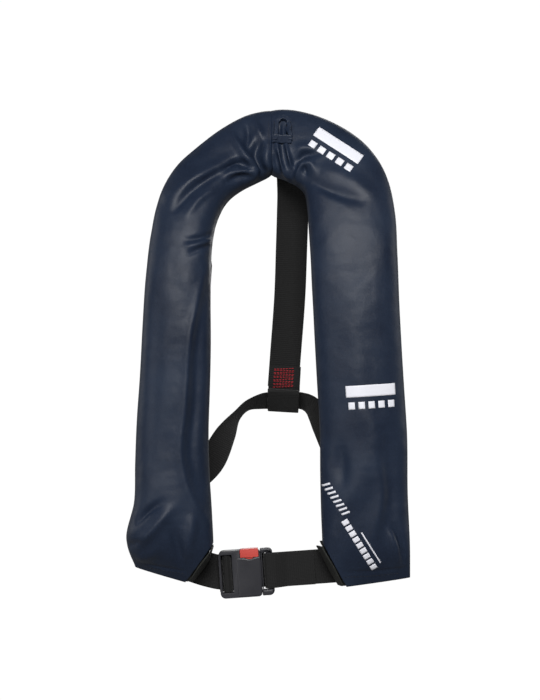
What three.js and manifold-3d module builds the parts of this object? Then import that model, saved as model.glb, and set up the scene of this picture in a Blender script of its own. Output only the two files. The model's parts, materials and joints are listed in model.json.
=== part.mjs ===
// Inflatable life jacket, packed: a horseshoe cover round a folded bladder, with a back strap,
// a waist belt and a push-button buckle. Millimetres, +Z up, -Y the front, +X the wearer's left.
// The origin is inside the top of the collar, where the jacket hangs on the neck.

import * as THREE from "three";
import { mergeVertices } from "three/addons/utils/BufferGeometryUtils.js";
import Module from "manifold-3d";

const wasm = await Module();
wasm.setup();

const { Vector3 } = THREE;

// Driving dimensions.
const COVER_WALL = 1.2;
const SEAM_HALF_GAP = 0.3; // between the two cover halves at the nape
const LOBE_BACK_Y = -31.2; // the covers' flat back on the chest
const PANEL_OFFSET = 2.6; // from the cover's back to the back panel, with the closure tapes between
const TAPE_THICKNESS = 0.5;
const TAPE_GAP = 0.4;
const TAPE_WIDTH = 16;
const WEB_WIDTH = 40;
const WEB_THICKNESS = 1.8;
const BACK_STRAP_WIDTH = 38;
const BUCKLE_TILT_DEG = 4;
const BUCKLE_CENTRE = new Vector3(-24, -26.5, -462.5);
const GAP = 0.4; // between pieces that touch

// ---------------------------------------------------------------------------
// Geometry helpers

// A closed geometry whose triangles face outwards.
function facingOut(geometry) {
  const position = geometry.attributes.position;
  const index = geometry.index.array;
  const [a, b, c] = [new Vector3(), new Vector3(), new Vector3()];
  let volume = 0;
  for (let i = 0; i < index.length; i += 3) {
    a.fromBufferAttribute(position, index[i]);
    b.fromBufferAttribute(position, index[i + 1]);
    c.fromBufferAttribute(position, index[i + 2]);
    volume += a.dot(b.cross(c));
  }
  if (volume < 0) {
    for (let i = 0; i < index.length; i += 3) {
      [index[i + 1], index[i + 2]] = [index[i + 2], index[i + 1]];
    }
  }
  return geometry;
}

// A closed solid through a row of rings with equal numbers of points.
function loft(rings) {
  const count = rings[0].length;
  const index = [];
  for (let r = 0; r + 1 < rings.length; r++) {
    for (let i = 0; i < count; i++) {
      const a = r * count + i;
      const b = r * count + ((i + 1) % count);
      index.push(a, b, a + count, b, b + count, a + count);
    }
  }
  const last = (rings.length - 1) * count;
  for (let i = 1; i + 1 < count; i++) {
    index.push(0, i + 1, i, last, last + i, last + i + 1);
  }
  const positions = rings.flat().flatMap((p) => p.toArray());
  const geometry = new THREE.BufferGeometry();
  geometry.setAttribute("position", new THREE.Float32BufferAttribute(positions, 3));
  geometry.setIndex(index);
  return facingOut(geometry);
}

function toSolid(geometry) {
  const bare = geometry.clone();
  bare.deleteAttribute("normal");
  bare.deleteAttribute("uv");
  const merged = mergeVertices(bare, 1e-4);
  return new wasm.Manifold(
    new wasm.Mesh({
      numProp: 3,
      vertProperties: merged.attributes.position.array,
      triVerts: new Uint32Array(merged.index.array),
    }),
  );
}

function toGeometry(solid) {
  const mesh = solid.getMesh();
  const geometry = new THREE.BufferGeometry();
  geometry.setAttribute("position", new THREE.BufferAttribute(mesh.vertProperties, 3));
  geometry.setIndex(new THREE.BufferAttribute(mesh.triVerts, 1));
  return geometry;
}

// The first geometry with the others cut away, less any slivers the cuts leave loose.
function cut(geometry, ...tools) {
  const solid = tools.reduce((left, tool) => left.subtract(toSolid(tool)), toSolid(geometry));
  const bodies = solid.decompose().sort((a, b) => b.volume() - a.volume());
  return toGeometry(bodies[0]);
}

function join(...parts) {
  return toGeometry(parts.map(toSolid).reduce((all, part) => all.add(part)));
}

function common(a, b) {
  return toGeometry(toSolid(a).intersect(toSolid(b)));
}

// A box between two corners.
function box(low, high) {
  const size = high.map((v, i) => v - low[i]);
  const middle = high.map((v, i) => (v + low[i]) / 2);
  return new THREE.BoxGeometry(...size).translate(...middle);
}

// A rounded plate in XZ: its outline has round corners, and it runs from y0 to y1.
function roundedPlate(x0, x1, z0, z1, radius, y0, y1, cornerSteps = 3) {
  const shape = new THREE.Shape();
  shape.moveTo(x0 + radius, z0);
  shape.lineTo(x1 - radius, z0);
  shape.absarc(x1 - radius, z0 + radius, radius, -Math.PI / 2, 0, false);
  shape.lineTo(x1, z1 - radius);
  shape.absarc(x1 - radius, z1 - radius, radius, 0, Math.PI / 2, false);
  shape.lineTo(x0 + radius, z1);
  shape.absarc(x0 + radius, z1 - radius, radius, Math.PI / 2, Math.PI, false);
  shape.lineTo(x0, z0 + radius);
  shape.absarc(x0 + radius, z0 + radius, radius, Math.PI, 1.5 * Math.PI, false);
  const options = { depth: y1 - y0, bevelEnabled: false, curveSegments: cornerSteps };
  return new THREE.ExtrudeGeometry(shape, options).rotateX(Math.PI / 2).translate(0, y1, 0);
}

// A cylinder along one axis, from a to b on it, about the point (u, v) of the other two.
function rod(axis, radius, a, b, u, v, sides = 16) {
  const geometry = new THREE.CylinderGeometry(radius, radius, b - a, sides);
  const middle = (a + b) / 2;
  if (axis === "x") return geometry.rotateZ(Math.PI / 2).translate(middle, u, v);
  if (axis === "y") return geometry.translate(u, middle, v);
  return geometry.rotateX(Math.PI / 2).translate(u, v, middle);
}

// Everything on the side of a plane that its normal points to, within half a metre.
function halfSpace(point, normal) {
  const reach = 500;
  const turn = new THREE.Quaternion().setFromUnitVectors(new Vector3(0, 0, 1), normal);
  return new THREE.BoxGeometry(reach, reach, reach)
    .translate(0, 0, reach / 2)
    .applyQuaternion(turn)
    .translate(...point.toArray());
}

// Webbing along a route. Each stop is [x, y, z, ux, uy, uz], where u points across the webbing.
function webbing(stops, steps, width, thickness) {
  const route = new THREE.CatmullRomCurve3(stops.map((s) => new Vector3(s[0], s[1], s[2])));
  const across = new THREE.CatmullRomCurve3(stops.map((s) => new Vector3(s[3], s[4], s[5])));
  const rings = [];
  for (let i = 0; i <= steps; i++) {
    const t = i / steps;
    const along = route.getTangent(t);
    const side = across.getPoint(t);
    side.addScaledVector(along, -side.dot(along)).normalize().multiplyScalar(width / 2);
    const face = new Vector3().crossVectors(along, side).setLength(thickness / 2);
    const at = route.getPoint(t);
    rings.push(
      [[1, 1], [-1, 1], [-1, -1], [1, -1]].map(([u, v]) =>
        at.clone().addScaledVector(side, u).addScaledVector(face, v),
      ),
    );
  }
  return loft(rings);
}

// ---------------------------------------------------------------------------
// Materials

const finish = (color, roughness, metalness = 0) =>
  new THREE.MeshStandardMaterial({ color, roughness, metalness });
const navyFabric = finish(0x2b3547, 0.5);
const liningFabric = finish(0x1b2029, 0.8);
const blackFabric = finish(0x22262a, 0.8);
const blackWebbing = finish(0x242424, 0.85);
const tapeBlack = finish(0x151515, 0.95);
const blackPlastic = finish(0x35353a, 0.45);
const redPlastic = finish(0xd65a48, 0.4);
const bladderYellow = finish(0xc8e020, 0.5);
const clearPlastic = finish(0xe8e8e0, 0.35);
const steel = finish(0xb8bcc0, 0.3, 1);

const jacket = new THREE.Group();

function addMesh(parent, name, geometry, material) {
  const mesh = new THREE.Mesh(geometry, material);
  mesh.name = name;
  parent.add(mesh);
  return mesh;
}

// ---------------------------------------------------------------------------
// The horseshoe: two halves, each a band that runs from the seam at the nape to its hem.

// A station is [x, y, z, width, depth, lean]: the middle of the section, its size, and how far
// the band's face leans back, in degrees. On the chest the band's back lies in one plane.
const onChest = (x, z, width, depth) => [x, LOBE_BACK_Y - depth / 2, z, width, depth, 0];
const SEAM_X = 4;
const NAPE = [SEAM_X, 0, 40, 76, 42, 25];

const LEFT_STATIONS = [
  NAPE,
  [-10, -0.8, 37.5, 75.5, 42, 25],
  [-34, -5, 22, 74, 43, 24],
  [-64, -16, -1, 71, 44, 20],
  [-86, -31, -33, 71, 46, 13],
  [-97, -46, -70, 72, 48, 6],
  onChest(-100, -110, 73, 53),
  onChest(-103, -170, 76, 53),
  onChest(-106, -267, 80, 53),
  onChest(-107, -342, 85, 53),
  onChest(-109, -396, 94, 58),
  onChest(-110, -436, 98, 54),
  onChest(-106.5, -464, 92, 15),
];

const RIGHT_STATIONS = [
  NAPE,
  [20, -0.9, 38.5, 77, 42, 25],
  [44, -4, 29, 82, 43, 25],
  [66, -10, 17, 88, 44, 22],
  [84, -20, -3, 94, 45, 18],
  [94, -32, -33, 101, 46, 12],
  [98, -45, -76, 101, 46, 5],
  onChest(101, -120, 99, 46),
  onChest(104, -200, 98, 46),
  onChest(107, -260, 98, 46),
  onChest(110, -340, 99, 46),
  onChest(112, -420, 98, 45),
  onChest(114.5, -470, 98, 14),
];

const PATH_LENGTH = 600;

function makeHalf(side, stations) {
  return {
    side,
    path: new THREE.CatmullRomCurve3(stations.map((s) => new Vector3(s[0], s[1], s[2]))),
    sizes: new THREE.CatmullRomCurve3(stations.map((s) => new Vector3(s[3], s[4], s[5]))),
  };
}

const halves = { left: makeHalf(-1, LEFT_STATIONS), right: makeHalf(1, RIGHT_STATIONS) };

// The section's middle, size and directions at t: outward to the outer edge, face to the front.
// Before 0 the band runs straight on past the seam.
function sectionAt(half, t) {
  const on = Math.max(t, 0);
  const [width, depth, lean] = half.sizes.getPoint(on).toArray();
  const along = half.path.getTangent(on);
  const tilt = THREE.MathUtils.degToRad(lean);
  const front = new Vector3(0, -Math.cos(tilt), Math.sin(tilt));
  const outward = new Vector3().crossVectors(along, front).setLength(-half.side);
  const face = new Vector3().crossVectors(outward, along).setLength(-half.side);
  const middle = half.path.getPoint(on).addScaledVector(along, (t - on) * PATH_LENGTH);
  return { middle, width, depth, outward, face };
}

const onSection = (section, w, n) =>
  section.middle.clone().addScaledVector(section.outward, w).addScaledVector(section.face, n);

// A solid along one half: outline gives the section's points as [outward, frontward]. Every
// band has its rings at the same places, so that bands laid on each other stay apart.
const BAND_STEPS = 20;

function band(half, t0, t1, outline) {
  const rings = [];
  const stations = [t0];
  for (let i = 0; i <= BAND_STEPS; i++) {
    const t = i / BAND_STEPS;
    if (t > t0 + 0.005 && t < t1 - 0.005) stations.push(t);
  }
  stations.push(t1);
  for (const t of stations) {
    const section = sectionAt(half, t);
    rings.push(outline(section).map(([w, n]) => onSection(section, w, n)));
  }
  return loft(rings);
}

const SECTION_POINTS = 16;
const FRONT_POWER = 2.4; // the front is round, and the back is flat with tight corners
const BACK_POWER = 5;
const PAST_SEAM = -0.02;

// A stuffed section, smaller than the cover by inset all round.
function pillow(inset) {
  return ({ width, depth }) => {
    const points = [];
    for (let i = 0; i < SECTION_POINTS; i++) {
      const angle = (2 * Math.PI * (i + 0.5)) / SECTION_POINTS;
      const c = Math.cos(angle);
      const s = Math.sin(angle);
      const power = 2 / (s > 0 ? FRONT_POWER : BACK_POWER);
      points.push([
        (width / 2 - inset) * Math.sign(c) * Math.abs(c) ** power,
        (depth / 2 - inset) * Math.sign(s) * Math.abs(s) ** power,
      ]);
    }
    return points;
  };
}

// A flat strip behind the cover: w0 and w1 in half-widths, n0 and n1 from the cover's back.
function strip(w0, w1, n0, n1) {
  return ({ width, depth }) => {
    const [a, b] = [(w0 * width) / 2, (w1 * width) / 2];
    const [back, front] = [n0 - depth / 2, n1 - depth / 2];
    return [[a, back], [b, back], [b, front], [a, front]];
  };
}

// Each lobe's lower inner corner is cut off on a slant, where the belt comes out.
const CORNERS = {
  left: { low: new Vector3(-91, 0, -470), high: new Vector3(-61, 0, -428) },
  right: { low: new Vector3(89, 0, -476), high: new Vector3(63, 0, -428) },
};
const GUSSET_THICKNESS = 1.4;

function cornerCut(name, inset) {
  const { low, high } = CORNERS[name];
  const slant = high.clone().sub(low).normalize();
  const normal = new Vector3(slant.z, 0, -slant.x).multiplyScalar(-halves[name].side);
  return halfSpace(low.clone().addScaledVector(normal, -inset), normal);
}

const LIP_OUTER = 0.45; // the cover's lip wraps this far in behind, in half-widths
const LIP_INNER = -0.72;
const BLADDER_INSET = 6;

// Everything past the seam at the nape, seen from one half.
function pastSeam(half, gap) {
  const point = new Vector3(SEAM_X + half.side * gap, 0, 0);
  return halfSpace(point, new Vector3(-half.side, 0, 0));
}

function addCoverHalf(name) {
  const half = halves[name];
  const seam = pastSeam(half, SEAM_HALF_GAP);
  const outer = band(half, PAST_SEAM, 1, pillow(0));
  const hollow = band(half, PAST_SEAM - 0.01, 0.985, pillow(COVER_WALL));
  const backWindow = band(half, PAST_SEAM - 0.01, 0.93, strip(LIP_INNER, LIP_OUTER, -4, 6));
  const shell = cut(outer, hollow, backWindow, seam, cornerCut(name, GUSSET_THICKNESS + GAP));
  addMesh(jacket, `front_cover_${name}`, shell, navyFabric);

  const panelBack = -PANEL_OFFSET - COVER_WALL;
  const panel = band(half, PAST_SEAM, 0.985, strip(-0.86, 0.9, panelBack, -PANEL_OFFSET));
  const trimmed = cut(panel, seam, cornerCut(name, GUSSET_THICKNESS));
  addMesh(jacket, `back_panel_${name}`, trimmed, liningFabric);

  const tape = (near) => {
    const inner = 0.86 - TAPE_WIDTH / 45;
    const [from, to] = [1 / BAND_STEPS, 18 / BAND_STEPS];
    return band(half, from, to, strip(inner, 0.86, near - TAPE_THICKNESS, near));
  };
  addMesh(jacket, `hook_tape_${name}`, tape(-TAPE_GAP), tapeBlack);
  addMesh(jacket, `loop_tape_${name}`, tape(-2 * TAPE_GAP - TAPE_THICKNESS), tapeBlack);

  const slab = cut(band(half, 0.8, 1, pillow(0.1)), cornerCut(name, 0));
  const gusset = common(slab, cornerCut(name, GUSSET_THICKNESS));
  addMesh(jacket, `corner_gusset_${name}`, gusset, blackFabric);
}

addCoverHalf("left");
addCoverHalf("right");

// The folded bladder fills the covers. Low on each side it is a thin pack along the back, and
// the inflator or the mouth tube lies in front of it.
const THIN_PACK = 7;

function bladderSection(thinFrom) {
  const round = pillow(BLADDER_INSET);
  return (section) => {
    const full = section.depth - 2 * BLADDER_INSET;
    const share = THREE.MathUtils.smoothstep(-section.middle.z, thinFrom, thinFrom + 30);
    const depth = THREE.MathUtils.lerp(full, Math.min(full, THIN_PACK), share);
    return round(section).map(([w, n]) => [w, ((n + full / 2) * depth) / full - full / 2]);
  };
}

const bladderLeft = band(halves.left, -0.001, 0.93, bladderSection(222));
const bladderRight = band(halves.right, -0.001, 0.93, bladderSection(275));
addMesh(jacket, "bladder", join(bladderLeft, bladderRight), bladderYellow);

// ---------------------------------------------------------------------------
// Collar fittings: the hanging loop under its keeper tab, both on the front of the nape.

// Turns a part drawn in XZ, facing -Y, to lie along a section and moves it there.
function placeAlong(section, at, geometry) {
  const right = new Vector3().crossVectors(section.outward, section.face).normalize();
  const basis = new THREE.Matrix4().makeBasis(right, section.face.clone().negate(), section.outward);
  return geometry.applyMatrix4(basis).translate(...at.toArray());
}

function placeOnCollar(geometry, t, w, lift) {
  const section = sectionAt(halves.right, t);
  return placeAlong(section, onSection(section, w, section.depth / 2 + lift), geometry);
}

const LOOP_WIDTH = 20;
const LOOP_HEIGHT = 22;
const LOOP_TAPE = 6.5;
const loopShape = new THREE.Shape();
loopShape.moveTo(-LOOP_WIDTH / 2, -LOOP_HEIGHT / 2);
loopShape.lineTo(LOOP_TAPE - LOOP_WIDTH / 2, -LOOP_HEIGHT / 2);
loopShape.lineTo(LOOP_TAPE - LOOP_WIDTH / 2, 1);
loopShape.absarc(0, 1, LOOP_WIDTH / 2 - LOOP_TAPE, Math.PI, 0, true);
loopShape.lineTo(LOOP_WIDTH / 2 - LOOP_TAPE, -LOOP_HEIGHT / 2);
loopShape.lineTo(LOOP_WIDTH / 2, -LOOP_HEIGHT / 2);
loopShape.lineTo(LOOP_WIDTH / 2, 1);
loopShape.absarc(0, 1, LOOP_WIDTH / 2, 0, Math.PI, false);
const loopOptions = { depth: 4, bevelEnabled: false, curveSegments: 8 };
const loopBody = new THREE.ExtrudeGeometry(loopShape, loopOptions).rotateX(Math.PI / 2);
const LOOP_T = 0.073;
addMesh(jacket, "hanging_loop", placeOnCollar(loopBody, LOOP_T, 6, 0.5), navyFabric);
const keeper = roundedPlate(-12, 12, -4.5, 4.5, 1.2, -2.4, 0);
addMesh(jacket, "loop_keeper", placeOnCollar(keeper, LOOP_T, -10.2, 1.2), navyFabric);

// ---------------------------------------------------------------------------
// Back strap: sewn behind the collar, it hangs to a loop that carries the belt.

const COLLAR_LEAN_DEG = 25;
const STRAP_END = [19.5, 72, -251];
addMesh(
  jacket,
  "back_strap",
  webbing(
    [
      [29.5, 33.8, 46, 1, 0, 0],
      [29.5, 25.4, 28, 1, 0, 0],
      [30, 17.8, 11, 1, 0, 0],
      [30.5, 14.8, -4, 1, 0, 0],
      [31, 21, -20, 1, 0, 0],
      [30.6, 33, -42, 1, 0, 0],
      [29.5, 45, -80, 1, 0, 0],
      [27.5, 58, -140, 1, 0, -0.03],
      [22.5, 68, -210, 1, 0, -0.05],
      [...STRAP_END, 1, 0, -0.06],
    ],
    26,
    BACK_STRAP_WIDTH,
    WEB_THICKNESS,
  ),
  blackWebbing,
);
addMesh(
  jacket,
  "strap_anchor_patch",
  roundedPlate(-27, 27, -18, 18, 5, -0.5, 0.5)
    .rotateX(THREE.MathUtils.degToRad(-COLLAR_LEAN_DEG))
    .translate(29.5, 28.2, 28),
  blackFabric,
);

// The strap's end is folded to a slender ring that lies along the tilted belt.
const RING_TILT_DEG = 33;
const RING_HALF = [24, 7];
const RING_CENTRE = new Vector3(19.5, 71, -268);
const ringShape = new THREE.Shape();
ringShape.absellipse(0, 0, RING_HALF[0], RING_HALF[1], 0, 2 * Math.PI, false, 0);
const ringHole = new THREE.Path();
const ringInner = RING_HALF.map((r) => r - WEB_THICKNESS);
ringHole.absellipse(0, 0, ringInner[0], ringInner[1], 0, 2 * Math.PI, true, 0);
ringShape.holes.push(ringHole);
const ringOptions = { depth: BACK_STRAP_WIDTH, bevelEnabled: false, curveSegments: 20 };
const ring = new THREE.ExtrudeGeometry(ringShape, ringOptions)
  .translate(0, 0, -BACK_STRAP_WIDTH / 2)
  .rotateX(Math.PI / 2)
  .rotateZ(Math.PI / 2)
  .rotateX(THREE.MathUtils.degToRad(-RING_TILT_DEG))
  .translate(...RING_CENTRE.toArray());
addMesh(jacket, "back_strap_ring", ring, blackWebbing);
addMesh(
  jacket,
  "ring_stitch_pad",
  roundedPlate(-19, 19, -13, 13, 1.5, -1.2, 1.2).translate(20, 66.6, -240),
  blackWebbing,
);

// ---------------------------------------------------------------------------
// Waist belt: from behind the buckle, through the left sleeve, up and round the back through the
// strap's ring, and down into the right sleeve. The tongue's own webbing meets it there.

const tiltBuckle = THREE.MathUtils.degToRad(BUCKLE_TILT_DEG);
// A point of the buckle's own frame, in the jacket's.
const fromBuckle = (x, y, z = 0) => [
  BUCKLE_CENTRE.x + x * Math.cos(tiltBuckle) - z * Math.sin(tiltBuckle),
  BUCKLE_CENTRE.y + y,
  BUCKLE_CENTRE.z + x * Math.sin(tiltBuckle) + z * Math.cos(tiltBuckle),
];
const BELT_BEHIND = 8.7; // the belt's run behind the buckle, from the buckle's middle
addMesh(
  jacket,
  "waist_belt",
  webbing(
    [
      [...fromBuckle(22, BELT_BEHIND), -0.07, 0, 1],
      [...fromBuckle(0, BELT_BEHIND), -0.07, 0, 1],
      [...fromBuckle(-28, BELT_BEHIND), -0.07, 0, 1],
      [-67, -17.8, -461.5, 0.12, 0, 1],
      [-88, -20, -454.5, 0.28, 0, 0.96],
      [-114, -19, -446.5, 0.28, 0, 0.96],
      [-135, -9, -435, 0.2, 0, 0.97],
      [-140, 12, -415, -0.1, -0.1, 1],
      [-124, 36, -386, -0.35, -0.45, 0.82],
      [-96, 51, -366, -0.55, -0.45, 0.7],
      [-69, 57, -342, -0.62, -0.5, 0.55],
      [-51, 61, -309, -0.5, -0.75, 0.4],
      [-37, 65, -286, -0.2, -0.95, 0.2],
      [-24, 68, -273.5, -0.1, -0.95, 0.3],
      [-6, 70.8, -268.4, 0, -0.86, 0.5],
      [19.5, 71, -268, 0, -0.84, 0.545],
      [43, 70.8, -268.4, 0, -0.84, 0.545],
      [57, 65, -278, 0.25, -0.7, 0.6],
      [69, 58.5, -298, 0.5, -0.6, 0.5],
      [84, 51, -328, 0.5, -0.45, 0.6],
      [112, 36, -368, 0.3, -0.3, 0.9],
      [137, 12, -409, 0.1, -0.1, 1],
      [134, -11, -436, -0.05, 0, 1],
      [116, -18, -448.5, -0.08, 0, 1],
      [96, -18.4, -452.5, -0.08, 0, 1],
    ],
    72,
    WEB_WIDTH,
    WEB_THICKNESS,
  ),
  blackWebbing,
);

// A sleeve is a flat tube of black fabric on the back of a lobe, cut to the slanted corner.
const SLEEVE_HEIGHT = 54;
const SLEEVE_WALL = 0.8;
const SLEEVE_Y = [-27.5, -14.5];

function addSleeve(name, slopeDeg, inner, outer, middleZ) {
  const turn = THREE.MathUtils.degToRad(slopeDeg);
  const [low, high] = [Math.min(inner, outer), Math.max(inner, outer)];
  const place = (geometry) =>
    geometry.translate(-(low + high) / 2, 0, 0).rotateY(-turn).translate((low + high) / 2, 0, middleZ);
  const half = SLEEVE_HEIGHT / 2;
  const tube = place(box([low, SLEEVE_Y[0], -half], [high, SLEEVE_Y[1], half]));
  const tunnel = place(
    box(
      [low - 30, SLEEVE_Y[0] + SLEEVE_WALL, SLEEVE_WALL - half],
      [high + 30, SLEEVE_Y[1] - SLEEVE_WALL, half - SLEEVE_WALL],
    ),
  );
  addMesh(jacket, `belt_sleeve_${name}`, cut(tube, tunnel, cornerCut(name, 0)), blackFabric);
}

addSleeve("left", -15, -62, -112, -450.5);
addSleeve("right", 4, 60, 112, -452.5);

// ---------------------------------------------------------------------------
// Buckle, in its own frame: +X towards the tongue, +Z up, -Y the front.

const buckle = new THREE.Group();
buckle.position.copy(BUCKLE_CENTRE);
buckle.rotation.y = -tiltBuckle;
jacket.add(buckle);

const HOUSING = { left: -31, right: 17.5, bottom: -28, top: 26.5, front: -7, back: 5 };
const BLADE = { left: -8.5, bottom: -14.5, top: 12.5, front: -2.4, back: 1.8 };
const BUTTON = { left: -5.6, right: 15.4, front: -6.7, back: -3.9, bottom: -2, head: 18, top: 27.6 };
const CLEARANCE = 0.5;
const BUTTON_TRAVEL = 3.5;

const housingBlank = roundedPlate(
  HOUSING.left, HOUSING.right, HOUSING.bottom, HOUSING.top, 6, HOUSING.front, HOUSING.back,
);
const barWindow = box([-28.5, -20, -22], [-15.6, 20, 22]);
const bladeSlot = box(
  [BLADE.left - 1.5, BLADE.front - CLEARANCE, BLADE.bottom - CLEARANCE],
  [HOUSING.right + 5, BLADE.back + CLEARANCE, BLADE.top + CLEARANCE],
);
const buttonWell = box(
  [BUTTON.left - CLEARANCE, HOUSING.front - 5, -16],
  [BUTTON.right + CLEARANCE, BUTTON.back + CLEARANCE, HOUSING.top + 5],
);
const headWell = box(
  [BUTTON.left - CLEARANCE, HOUSING.front - 5, BUTTON.head - BUTTON_TRAVEL - CLEARANCE],
  [BUTTON.right + CLEARANCE, 1.6, HOUSING.top + 5],
);
addMesh(buckle, "buckle_housing", cut(housingBlank, barWindow, bladeSlot, buttonWell, headWell), blackPlastic);
addMesh(
  buckle,
  "buckle_face_plate",
  roundedPlate(-10.5, HOUSING.right, HOUSING.bottom, BUTTON.head - BUTTON_TRAVEL - 0.6, 3,
    HOUSING.front - 1.6, HOUSING.front - GAP),
  blackPlastic,
);
const bar = new THREE.CylinderGeometry(1, 1, 43.4, 14)
  .scale(2.4, 1, 1.9)
  .rotateX(Math.PI / 2)
  .translate(-22, -1.3, 0);
addMesh(buckle, "adjuster_bar", bar, steel);

const buttonPlate = box(
  [BUTTON.left, BUTTON.front, BUTTON.bottom],
  [BUTTON.right, BUTTON.back, BUTTON.head + 2],
);
const buttonHead = roundedPlate(
  BUTTON.left, BUTTON.right, BUTTON.head, BUTTON.top, 1.5, HOUSING.front - 0.8, 1.1,
);
addMesh(buckle, "release_button", join(buttonPlate, buttonHead), redPlastic);
// The lock plate hangs from the button and crosses in front of the tongue's blade.
addMesh(buckle, "lock_plate", box([-3, BUTTON.front, -6], [13, BUTTON.back, -2.3]), steel);

// A button spring: a round wire wound by a loop over its turns.
function coilSpring(radius, wire, height, turns) {
  const rings = [];
  const stepsPerTurn = 9;
  const total = turns * stepsPerTurn;
  for (let i = 0; i <= total; i++) {
    const angle = (2 * Math.PI * i) / stepsPerTurn;
    const out = new Vector3(Math.cos(angle), Math.sin(angle), 0);
    const middle = out.clone().multiplyScalar(radius).setZ((height * i) / total);
    rings.push(
      [0, 1, 2, 3, 4].map((k) => {
        const round = (2 * Math.PI * k) / 5;
        const point = middle.clone().addScaledVector(out, wire * Math.cos(round));
        return point.add(new Vector3(0, 0, wire * Math.sin(round)));
      }),
    );
  }
  return loft(rings);
}
const SPRING_BASE_Z = -15;
addMesh(buckle, "button_spring", coilSpring(1.0, 0.3, 7.7, 5).translate(5, -5.3, SPRING_BASE_Z + 0.4), steel);

// Tongue: a blade, and a frame whose outer bar the webbing turns round.
const tongueFrame = cut(
  roundedPlate(18, 31.5, HOUSING.bottom, HOUSING.top, 6, -3.6, 3.6, 5),
  box([19.2, -10, -21.3], [24, 10, 21.3]),
  box([23.9, -10, -21.3], [40, -2.2, 21.3]),
  box([23.9, 2.2, -21.3], [40, 10, 21.3]),
);
const blade = box([BLADE.left, BLADE.front, BLADE.bottom], [18.6, BLADE.back, BLADE.top]);
const bladeWindow = box([-4, -10, -8], [3, 10, 6]);
addMesh(buckle, "tongue", join(cut(blade, bladeWindow), tongueFrame), blackPlastic);

const TURN_CENTRE = 25.4;
const TURN_RADIUS = 4;
const tongueRoute = [];
for (let x = 128; x > TURN_CENTRE; x -= 20) tongueRoute.push([x, TURN_RADIUS]);
for (let a = 90; a <= 270; a += 30) {
  const turn = THREE.MathUtils.degToRad(a);
  tongueRoute.push([TURN_CENTRE + TURN_RADIUS * Math.cos(turn), TURN_RADIUS * Math.sin(turn)]);
}
tongueRoute.push([33, -3.9], [40, -1.2], [47, 1.5], [54, 1.8], [66, 1.8], [79, 1.8]);
addMesh(
  buckle,
  "tongue_webbing",
  webbing(tongueRoute.map(([x, y]) => [x, y, 0, 0, 0, 1]), 60, WEB_WIDTH, WEB_THICKNESS),
  blackWebbing,
);

const wrapRoute = [
  [-40, 6.1], [-33, 6.2], [-28.6, 6.1], [-26.8, 4.2], [-26.3, 0], [-25, -3.4], [-22, -4.8],
  [-19, -3.4], [-17.7, 0], [-17.2, 4.2], [-15.4, 6.1], [-10, 6.2], [2, 6.2],
];
addMesh(
  buckle,
  "adjuster_webbing",
  webbing(wrapRoute.map(([x, y]) => [x, y, 0, 0, 0, 1]), 40, WEB_WIDTH, 1.6),
  blackWebbing,
);

// ---------------------------------------------------------------------------
// Inflator, low in the left lobe: a gas cylinder screwed into a head with a manual lever.

const HEAD = { x: -104, y: -60, bottom: -430, top: -396 };
const CYLINDER_RADIUS = 13;
const headBlock = roundedPlate(HEAD.x - 14, HEAD.x + 14, HEAD.bottom, HEAD.top, 5, -72, -48);
const STEM_RADIUS = 6.5;
const STEM_Z = HEAD.bottom + 12;
const neckSocket = rod("z", 7, HEAD.top - 10, HEAD.top + 1, HEAD.x, HEAD.y);
const pinBore = rod("z", 2.4, HEAD.bottom + 8, HEAD.top - 5, HEAD.x, HEAD.y, 10);
const stemSocket = rod("y", STEM_RADIUS + GAP, -52, -40, HEAD.x, STEM_Z);
const LEVER_PIVOT = { x: HEAD.x - 19.5, z: HEAD.bottom + 6 };
const lugBlock = box([LEVER_PIVOT.x - 4, -64, HEAD.bottom], [HEAD.x - 13, -56, HEAD.bottom + 12]);
const leverSlot = box([LEVER_PIVOT.x - 6, -62, HEAD.bottom - 2], [HEAD.x - 15, -58, HEAD.bottom + 14]);
const pivotBore = rod("y", 1.6, -68, -52, LEVER_PIVOT.x, LEVER_PIVOT.z, 12);
addMesh(
  jacket,
  "inflator_head",
  cut(join(headBlock, cut(lugBlock, leverSlot)), neckSocket, pinBore, stemSocket, pivotBore),
  blackPlastic,
);
addMesh(jacket, "lever_pivot", rod("y", 1.3, -63.8, -56.2, LEVER_PIVOT.x, LEVER_PIVOT.z, 12), steel);

const cylinderProfile = [
  [0, 0], [6.4, 0], [6.4, 10], [7.5, 12], [CYLINDER_RADIUS - 1, 18], [CYLINDER_RADIUS, 22],
  [CYLINDER_RADIUS, 112], [CYLINDER_RADIUS - 3, 119], [0, 122],
].map(([r, z]) => new THREE.Vector2(r, z));
const cylinder = new THREE.LatheGeometry(cylinderProfile, 20)
  .rotateX(Math.PI / 2)
  .translate(HEAD.x, HEAD.y, HEAD.top - 9.5);
addMesh(jacket, "gas_cylinder", cylinder, steel);
addMesh(
  jacket,
  "firing_pin",
  join(
    rod("z", 1.9, HEAD.bottom + 8.5, HEAD.bottom + 16, HEAD.x, HEAD.y, 10),
    new THREE.ConeGeometry(1.9, 4, 10)
      .rotateX(Math.PI / 2)
      .translate(HEAD.x, HEAD.y, HEAD.bottom + 17.9),
  ),
  steel,
);
const capProfile = [[0, 0], [9, 0], [10.5, 1.5], [10.5, 9], [0, 9]];
const sensorCap = new THREE.LatheGeometry(capProfile.map(([r, z]) => new THREE.Vector2(r, z)), 20)
  .rotateX(Math.PI / 2)
  .translate(HEAD.x, HEAD.y, HEAD.bottom - 9.4);
addMesh(jacket, "water_sensor_cap", sensorCap, redPlastic);
addMesh(
  jacket,
  "bladder_valve",
  join(
    rod("y", 18, -47.2, -45.8, HEAD.x, STEM_Z, 20),
    rod("y", STEM_RADIUS, -51.6, -46.5, HEAD.x, STEM_Z, 16),
  ),
  clearPlastic,
);

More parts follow.
